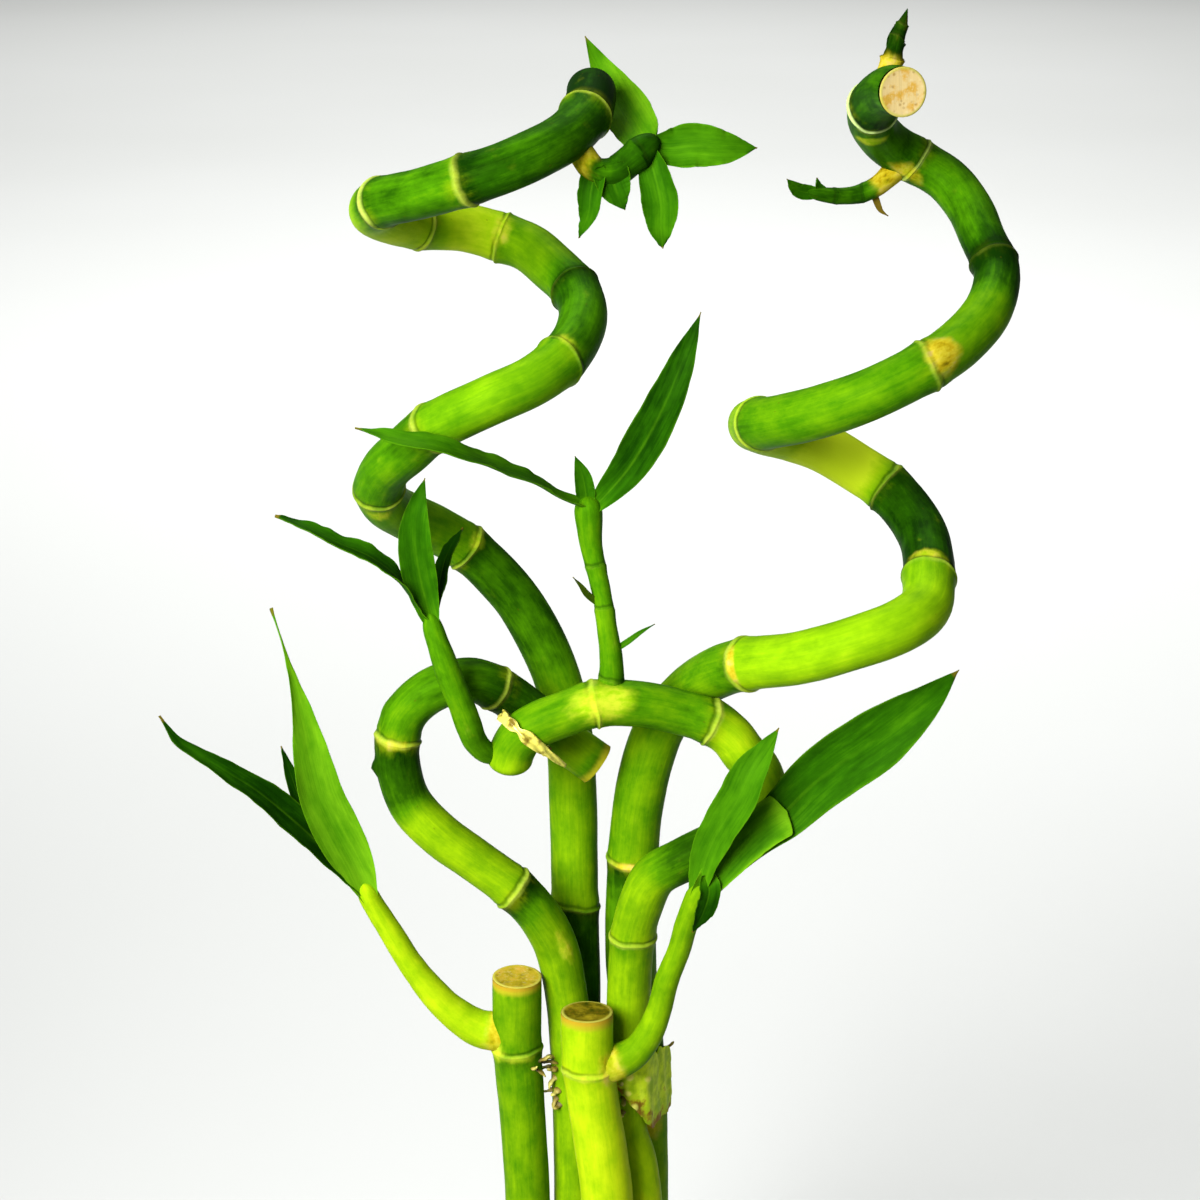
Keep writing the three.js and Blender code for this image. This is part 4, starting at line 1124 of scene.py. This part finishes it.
class Shader:
    """Short words for the nodes of one material."""

    def __init__(self, name):
        self.material = bpy.data.materials.new(name)
        self.material.use_nodes = True
        self.tree = self.material.node_tree
        self.skin = self.tree.nodes["Principled BSDF"]

    def put(self, socket, value):
        if isinstance(value, bpy.types.NodeSocket):
            self.tree.links.new(value, socket)
        else:
            socket.default_value = value

    def use(self, kind, inputs=None, output=0, **settings):
        """The output of a new node with these inputs."""
        made = self.tree.nodes.new("ShaderNode" + kind)
        for key, value in settings.items():
            setattr(made, key, value)
        for key, value in (inputs or {}).items():
            self.put(made.inputs[key], value)
        return made.outputs[output]

    def attribute(self, name, output="Fac"):
        return self.use("Attribute", output=output, attribute_name=name)

    def position(self):
        return self.use("NewGeometry", output="Position")

    def math(self, operation, a, b=0.0, c=0.0, clamp=False):
        return self.use("Math", {0: a, 1: b, 2: c}, operation=operation, use_clamp=clamp)

    def add(self, a, b):
        return self.math("ADD", a, b)

    def times(self, a, b):
        return self.math("MULTIPLY", a, b)

    def scaled(self, a, b, plus, clamp=False):
        """a times b, plus a third value."""
        return self.math("MULTIPLY_ADD", a, b, plus, clamp)

    def stretched(self, vector, scale):
        return self.use("VectorMath", {0: vector, 1: scale}, operation="MULTIPLY")

    def pattern(self, kind, output, vector, scale, **inputs):
        """A pattern of one size, or stretched where its scale has three parts."""
        if isinstance(scale, tuple):
            vector, scale = self.stretched(vector, scale), 1.0
        return self.use(kind, {"Vector": vector, "Scale": scale, **inputs}, output)

    def noise(self, vector, scale, detail=3.0, roughness=0.5):
        return self.pattern("TexNoise", "Fac", vector, scale, Detail=detail, Roughness=roughness)

    def specks(self, vector, scale):
        return self.pattern("TexVoronoi", "Distance", vector, scale)

    def between(self, value, low, high):
        """0 at low, 1 at high, smooth in between."""
        inputs = {"Value": value, "From Min": low, "From Max": high}
        return self.use("MapRange", inputs, "Result", interpolation_type="SMOOTHSTEP")

    def ramp(self, value, stops):
        colour = self.use("ValToRGB", {"Fac": value}, "Color")
        elements = colour.node.color_ramp.elements
        while len(elements) < len(stops):
            elements.new(0.5)
        for element, (place, tint) in zip(elements, stops):
            element.position = place
            element.color = (*tint, 1)
        return colour

    def mix(self, share, a, b):
        a, b = ((*v, 1) if isinstance(v, tuple) else v for v in (a, b))
        return self.use("Mix", {"Factor": share, 6: a, 7: b}, 2, data_type="RGBA")

    def bump(self, height, strength, distance):
        inputs = {"Height": height, "Strength": strength, "Distance": distance * MM}
        return self.use("Bump", inputs, "Normal")

    def set(self, **values):
        for name, value in values.items():
            self.put(self.skin.inputs[name.replace("_", " ")], value)


def skin_green(m, streaks, fibres, mottle):
    """Green by the length's lightness with streaks and clouds, a little yellower low on the plant."""
    tone = m.scaled(streaks, 0.24, m.attribute("tone"))
    tone = m.scaled(mottle, 0.62, tone)
    tone = m.scaled(fibres, 0.1, tone)
    green = m.ramp(m.times(m.add(tone, -0.48), 0.8), SKIN_GREENS)
    low = m.between(m.use("SeparateXYZ", {0: m.position()}, "Z"), 0.31, 0.22)
    return m.mix(low, green, m.stretched(green, (1.26, 1.05, 1)))


def with_rings(m, colour, flow, mottle):
    """Scar rings: a bright uneven lip, painted shade in the groove above it and a faint glow on both sides."""
    off, bright = m.attribute("ring"), m.attribute("bright")
    wavy = m.scaled(m.noise(flow, 5.0), 0.8, m.add(off, -0.4))
    on_ring = m.between(m.math("DIVIDE", wavy, m.scaled(bright, 0.5, 0.65)), 1.15, 0)
    # Painted shade in the groove just past the lip
    groove_shade = m.times(m.between(wavy, 0.5, 0.9), m.between(wavy, 1.9, 1.1))
    groove_shade = m.times(groove_shade, m.between(m.attribute("past"), 0, 0.6))
    halo = m.times(m.between(off, 4.5, 0.4), m.between(mottle, 0.4, 0.62))
    patchy = m.noise(flow, (1.5, 1.5, 0.6), 2)
    shown = m.times(bright, m.scaled(m.between(patchy, 0.38, 0.58), 0.6, 0.4))
    ring_colour = m.mix(m.noise(flow, 14.0), (0.2, 0.26, 0.005), (0.36, 0.45, 0.06))
    # Rings brighter than 1 turn paler: partly their own pale colour and partly a painted highlight
    ring_colour = m.mix(m.between(bright, 1, 1.4), ring_colour, (0.46, 0.6, 0.2))
    colour = m.mix(m.times(m.times(halo, shown), 0.4), colour, (0.24, 0.3, 0.003))
    colour = m.mix(m.times(groove_shade, 0.5), colour, (0.01, 0.035, 0.001))
    return m.mix(m.times(on_ring, m.times(shown, 0.92)), colour, ring_colour)


def with_dried_band(m, colour, mottle):
    """A yellowed band just below a sawn end, not on its face."""
    dry = m.attribute("dry")
    band = m.scaled(mottle, 0.5, m.add(dry, -0.25))
    band_colour = m.mix(m.between(dry, 0.75, 1), (0.3, 0.28, 0.01), (0.34, 0.22, 0.012))
    not_face = m.math("SUBTRACT", 1.0, m.attribute("cut"))
    return m.mix(m.times(m.between(band, 0.3, 0.8), not_face), colour, band_colour)


def with_scars(m, colour, flow, broad, blotch, dry):
    """Pale or rusty patches, one of them a painted sheen, and dark specks all over."""
    glow = m.mix(m.between(blotch, 0.35, 0.65), (0.22, 0.38, 0.003), (0.4, 0.46, 0.02))
    rust = m.between(m.scaled(broad, 0.8, m.attribute("rust")), 0.6, 1.2)
    colour = m.mix(m.times(dry, 0.92), colour, m.mix(rust, glow, m.ramp(blotch, RUSTS)))
    specks = m.between(m.specks(flow, (3, 3, 1.7)), 0.075, 0.03)
    return m.mix(m.times(specks, 0.4), colour, (0.06, 0.05, 0.002))


def cane_skin():
    """Green cane skin with fine lengthwise streaks, yellow scar rings, dry patches and sawn faces."""
    m = Shader("cane_skin")
    flow = m.attribute("flow", "Vector")
    streaks = m.noise(flow, (9, 9, 0.7), 4)
    fibres = m.noise(flow, (38, 38, 1.6), 2)
    mottle = m.noise(flow, (2, 2, 1.3), 5, 0.65)
    broad = m.noise(flow, (3.2, 3.2, 2.2), 3, 0.55)
    blotch = m.noise(flow, (4, 4, 2.6), 4, 0.6)
    dry = m.between(m.scaled(broad, 0.7, m.times(m.attribute("scar"), 0.8)), 0.42, 1.05)
    colour = skin_green(m, streaks, fibres, mottle)
    colour = with_rings(m, colour, flow, mottle)
    colour = with_dried_band(m, colour, mottle)
    colour = with_scars(m, colour, flow, broad, blotch, dry)
    colour = m.mix(m.attribute("cut"), colour, cut_colour(m))
    m.set(Base_Color=colour, IOR=1.4, Specular_IOR_Level=0.015, Specular_Tint=(0.7, 1.0, 0.15, 1.0))
    m.set(Roughness=m.scaled(m.math("MAXIMUM", dry, m.attribute("cut")), 0.2, 0.42))
    relief = m.scaled(fibres, 0.4, m.scaled(blotch, m.times(dry, 2.5), streaks))
    m.set(Normal=m.bump(relief, 0.35, 0.22))
    return m.material


def cut_colour(m):
    """A sawn face: pale and speckled inside a darker ring, browner the drier it is."""
    place, dry = m.position(), m.attribute("dry")
    grain = m.noise(place, 900.0, 5, 0.7)
    blotch = m.noise(place, 300.0, 4, 0.6)
    pores = m.between(m.specks(place, 620.0), 0.32, 0.1)
    body = m.ramp(m.scaled(m.add(blotch, -0.5), 1.1, dry), CUT_COLOURS)
    body = m.mix(m.times(pores, 0.5), body, (0.16, 0.08, 0.005))
    pale = m.times(m.between(grain, 0.5, 0.7), m.between(dry, 0.8, 0.1))
    body = m.mix(m.times(pale, 0.5), body, (0.55, 0.47, 0.26))
    rim = m.between(m.attribute("across"), 0.84, 0.95)
    rim_colour = m.mix(m.between(dry, 1, 1.15), (0.36, 0.34, 0.05), (0.012, 0.05, 0.001))
    return m.mix(m.times(rim, m.scaled(blotch, 0.6, 0.45, clamp=True)), body, rim_colour)


def leaf_green(m, flow, lengthwise, veins, mottle):
    """Green by the leaf's lightness with veins, bands and clouds, lighter at the base than the tip."""
    fine = m.noise(flow, (70, 1, 1), 2)
    bands = m.noise(flow, (2.2, 1, 0.22), 2)
    tone = m.scaled(veins, 0.22, m.attribute("tone"))
    tone = m.scaled(mottle, 0.42, tone)
    tone = m.scaled(bands, 0.5, m.add(tone, -0.62))
    tone = m.scaled(fine, 0.1, tone)
    tone = m.scaled(m.between(lengthwise, 0.25, 0), 0.18, tone)
    tone = m.scaled(m.between(lengthwise, 0.8, 1), -0.15, tone)
    return m.ramp(tone, LEAF_GREENS)


def leaf_glow(m, colour):
    """Lets some light through a blade."""
    glow = m.use("BsdfTranslucent", {"Color": m.mix(0.5, colour, (0.08, 0.25, 0.004))})
    both = m.use("MixShader", {0: 0.18, 1: m.skin.outputs[0], 2: glow})
    m.put(m.tree.nodes["Material Output"].inputs["Surface"], both)


def leaf_blade():
    """A leathery blade: parallel veins, a faint pale rib, lighter edges and a withered tip."""
    m = Shader("leaf_blade")
    flow = m.attribute("flow", "Vector")
    width, lengthwise = m.math("ABSOLUTE", m.attribute("across")), m.attribute("lengthwise")
    veins = m.noise(flow, (26, 1, 0.35))
    mottle = m.noise(flow, (5, 1, 1.7), 5, 0.6)
    rib = m.times(m.between(width, 0.1, 0.02), m.between(lengthwise, 0.9, 0.3))
    colour = leaf_green(m, flow, lengthwise, veins, mottle)
    colour = m.mix(m.times(rib, m.times(mottle, 0.45)), colour, (0.09, 0.27, 0.004))
    edge = m.times(m.between(width, 0.9, 0.99), m.times(mottle, 0.7))
    colour = m.mix(edge, colour, (0.1, 0.26, 0.004))
    tip = m.between(m.scaled(m.noise(flow, 5.0), 0.05, lengthwise), 0.985, 1.015)
    dry = m.math("MAXIMUM", m.times(tip, 0.6), m.attribute("dry"))
    withered = m.mix(mottle, (0.012, 0.014, 0.001), (0.25, 0.17, 0.015))
    colour = m.mix(m.between(dry, 0.1, 0.8), colour, withered)
    m.set(Base_Color=colour, Roughness=0.45, Normal=m.bump(veins, 0.3, 0.2))
    m.set(IOR=1.4, Specular_IOR_Level=0.02, Specular_Tint=(0.6, 1.0, 0.2, 1.0))
    leaf_glow(m, colour)
    return m.material


def glaze():
    m = Shader("white_glaze")
    place = m.position()
    cloud = m.noise(place, 30.0)
    m.set(Base_Color=m.mix(cloud, (0.82, 0.81, 0.77), (0.88, 0.87, 0.84)), Roughness=0.16, IOR=1.5)
    m.set(Coat_Weight=0.4, Coat_Roughness=0.06)
    m.set(Normal=m.bump(m.noise(place, 60.0, 2), 0.08, 0.3))
    return m.material


def stone():
    m = Shader("river_pebble")
    place = m.position()
    grain = m.noise(place, 700.0, 5, 0.7)
    bands = m.noise(place, (60, 60, 260), 4)
    colour = m.ramp(m.attribute("tone"), PEBBLE_COLOURS)
    colour = m.mix(m.times(m.between(bands, 0.4, 0.65), 0.35), colour, (0.36, 0.3, 0.24))
    colour = m.mix(m.times(m.between(grain, 0.5, 0.7), 0.3), colour, (0.8, 0.78, 0.74))
    m.set(Base_Color=colour, Roughness=0.48, IOR=1.5, Normal=m.bump(grain, 0.25, 0.25))
    return m.material


def gilt():
    m = Shader("gilt_strip")
    creases = m.noise(m.position(), 300.0, 4)
    # Brown in the folds and gold on the ridges: painted shade and painted reflection of crumpled foil over its
    # gold
    painted_fold_light = m.between(creases, 0.36, 0.56)
    m.set(Base_Color=m.mix(painted_fold_light, (0.16, 0.11, 0.004), (0.72, 0.66, 0.1)), Metallic=0.2)
    m.set(Roughness=m.scaled(creases, 0.2, 0.3), Normal=m.bump(creases, 0.7, 0.5))
    return m.material


def dry_husk():
    """Withered stubs: pale yellow at the tip, brown and flecked at the root."""
    m = Shader("dry_husk")
    grain = m.noise(m.position(), 800.0, 4, 0.6)
    share = m.scaled(m.attribute("lengthwise"), 0.45, m.times(m.attribute("tone"), 0.5))
    colour = m.ramp(m.scaled(grain, 0.5, m.add(share, -0.25)), HUSK_COLOURS)
    m.set(Base_Color=colour, Roughness=0.65, Normal=m.bump(grain, 0.5, 0.3))
    return m.material


def old_sheath():
    """A papery sheath: yellow-green with soft threads and pale lumps, brown along its lower edge."""
    m = Shader("old_sheath")
    place = m.position()
    threads = m.noise(place, (420, 420, 60))
    blotch = m.noise(place, 260.0, 4, 0.6)
    colour = m.mix(m.between(blotch, 0.35, 0.65), (0.26, 0.44, 0.002), (0.56, 0.74, 0.012))
    colour = m.mix(m.times(m.between(threads, 0.5, 0.7), 0.35), colour, (0.7, 0.8, 0.06))
    low = m.scaled(m.attribute("lengthwise"), 0.5, m.times(blotch, 0.9))
    colour = m.mix(m.between(low, 0.84, 1), colour, (0.22, 0.12, 0.004))
    lumps = m.scaled(blotch, 1.2, m.add(m.attribute("bright"), -0.6))
    colour = m.mix(m.between(lumps, 0.3, 0.8), colour, (0.66, 0.66, 0.1))
    m.set(Base_Color=colour, Roughness=0.6, IOR=1.4, Specular_IOR_Level=0.1)
    m.set(Normal=m.bump(threads, 0.4, 0.3))
    return m.material


OLD_SHEATH = old_sheath()
CANE_SKIN = cane_skin()
LEAF_BLADE = leaf_blade()
GLAZE = glaze()
STONE = stone()
GILT = gilt()
DRY_HUSK = dry_husk()

for seed, name in enumerate(CANES, 1):
    add_cane(name, seed)
for seed, name in enumerate(SHOOTS, 21):
    add_shoot(name, seed)
add_vase()
add_pebbles()
add_tie()
add_dried_bits()
add_old_sheath()


# Floor, light and camera


def add_floor():
    bpy.ops.mesh.primitive_plane_add(size=16)
    floor = bpy.context.object
    floor.name = "floor"
    m = Shader("pale_floor")
    cloud = m.noise(m.position(), 1.6, 2)
    m.set(Base_Color=m.mix(cloud, (0.58, 0.59, 0.575), (0.62, 0.63, 0.62)))
    m.set(Roughness=0.95, Specular_IOR_Level=0)
    floor.data.materials.append(m.material)


def add_light(name, place, target, size, power, spread):
    data = bpy.data.lights.new(name, "AREA")
    data.size = size
    data.energy = power
    data.spread = math.radians(spread)
    light = bpy.data.objects.new(name, data)
    light.location = place
    light.rotation_euler = (Vector(target) - Vector(place)).to_track_quat("-Z", "Y").to_euler()
    light.visible_camera = False
    bpy.context.scene.collection.objects.link(light)


def add_camera():
    data = bpy.data.cameras.new("camera")
    data.sensor_width = 36
    data.lens = data.sensor_width * VIEW_DISTANCE / VIEW_WIDTH
    camera = bpy.data.objects.new("camera", data)
    camera.location = EYE * MM
    camera.rotation_euler = Vector(-VIEW_BACK).to_track_quat("-Z", "Y").to_euler()
    bpy.context.scene.collection.objects.link(camera)
    bpy.context.scene.camera = camera


def add_world():
    world = bpy.data.worlds.new("soft_room")
    world.use_nodes = True
    background = world.node_tree.nodes["Background"]
    background.inputs["Color"].default_value = (1.0, 1.0, 0.97, 1)
    background.inputs["Strength"].default_value = 0.17
    bpy.context.scene.world = world


add_floor()
add_light("key", (-0.37, -0.57, 0.6), (0, 0, 0.26), 0.46, 3.8, spread=75)
add_light("middle", (0, 1.3, 1.8), (0, 1.3, 0), 1.6, 19, spread=100)
add_light("backdrop", (0, 3.6, 2.2), (0, 3.6, 0), 3, 48, spread=120)
add_world()
add_camera()
bpy.context.scene.view_settings.view_transform = "Standard"
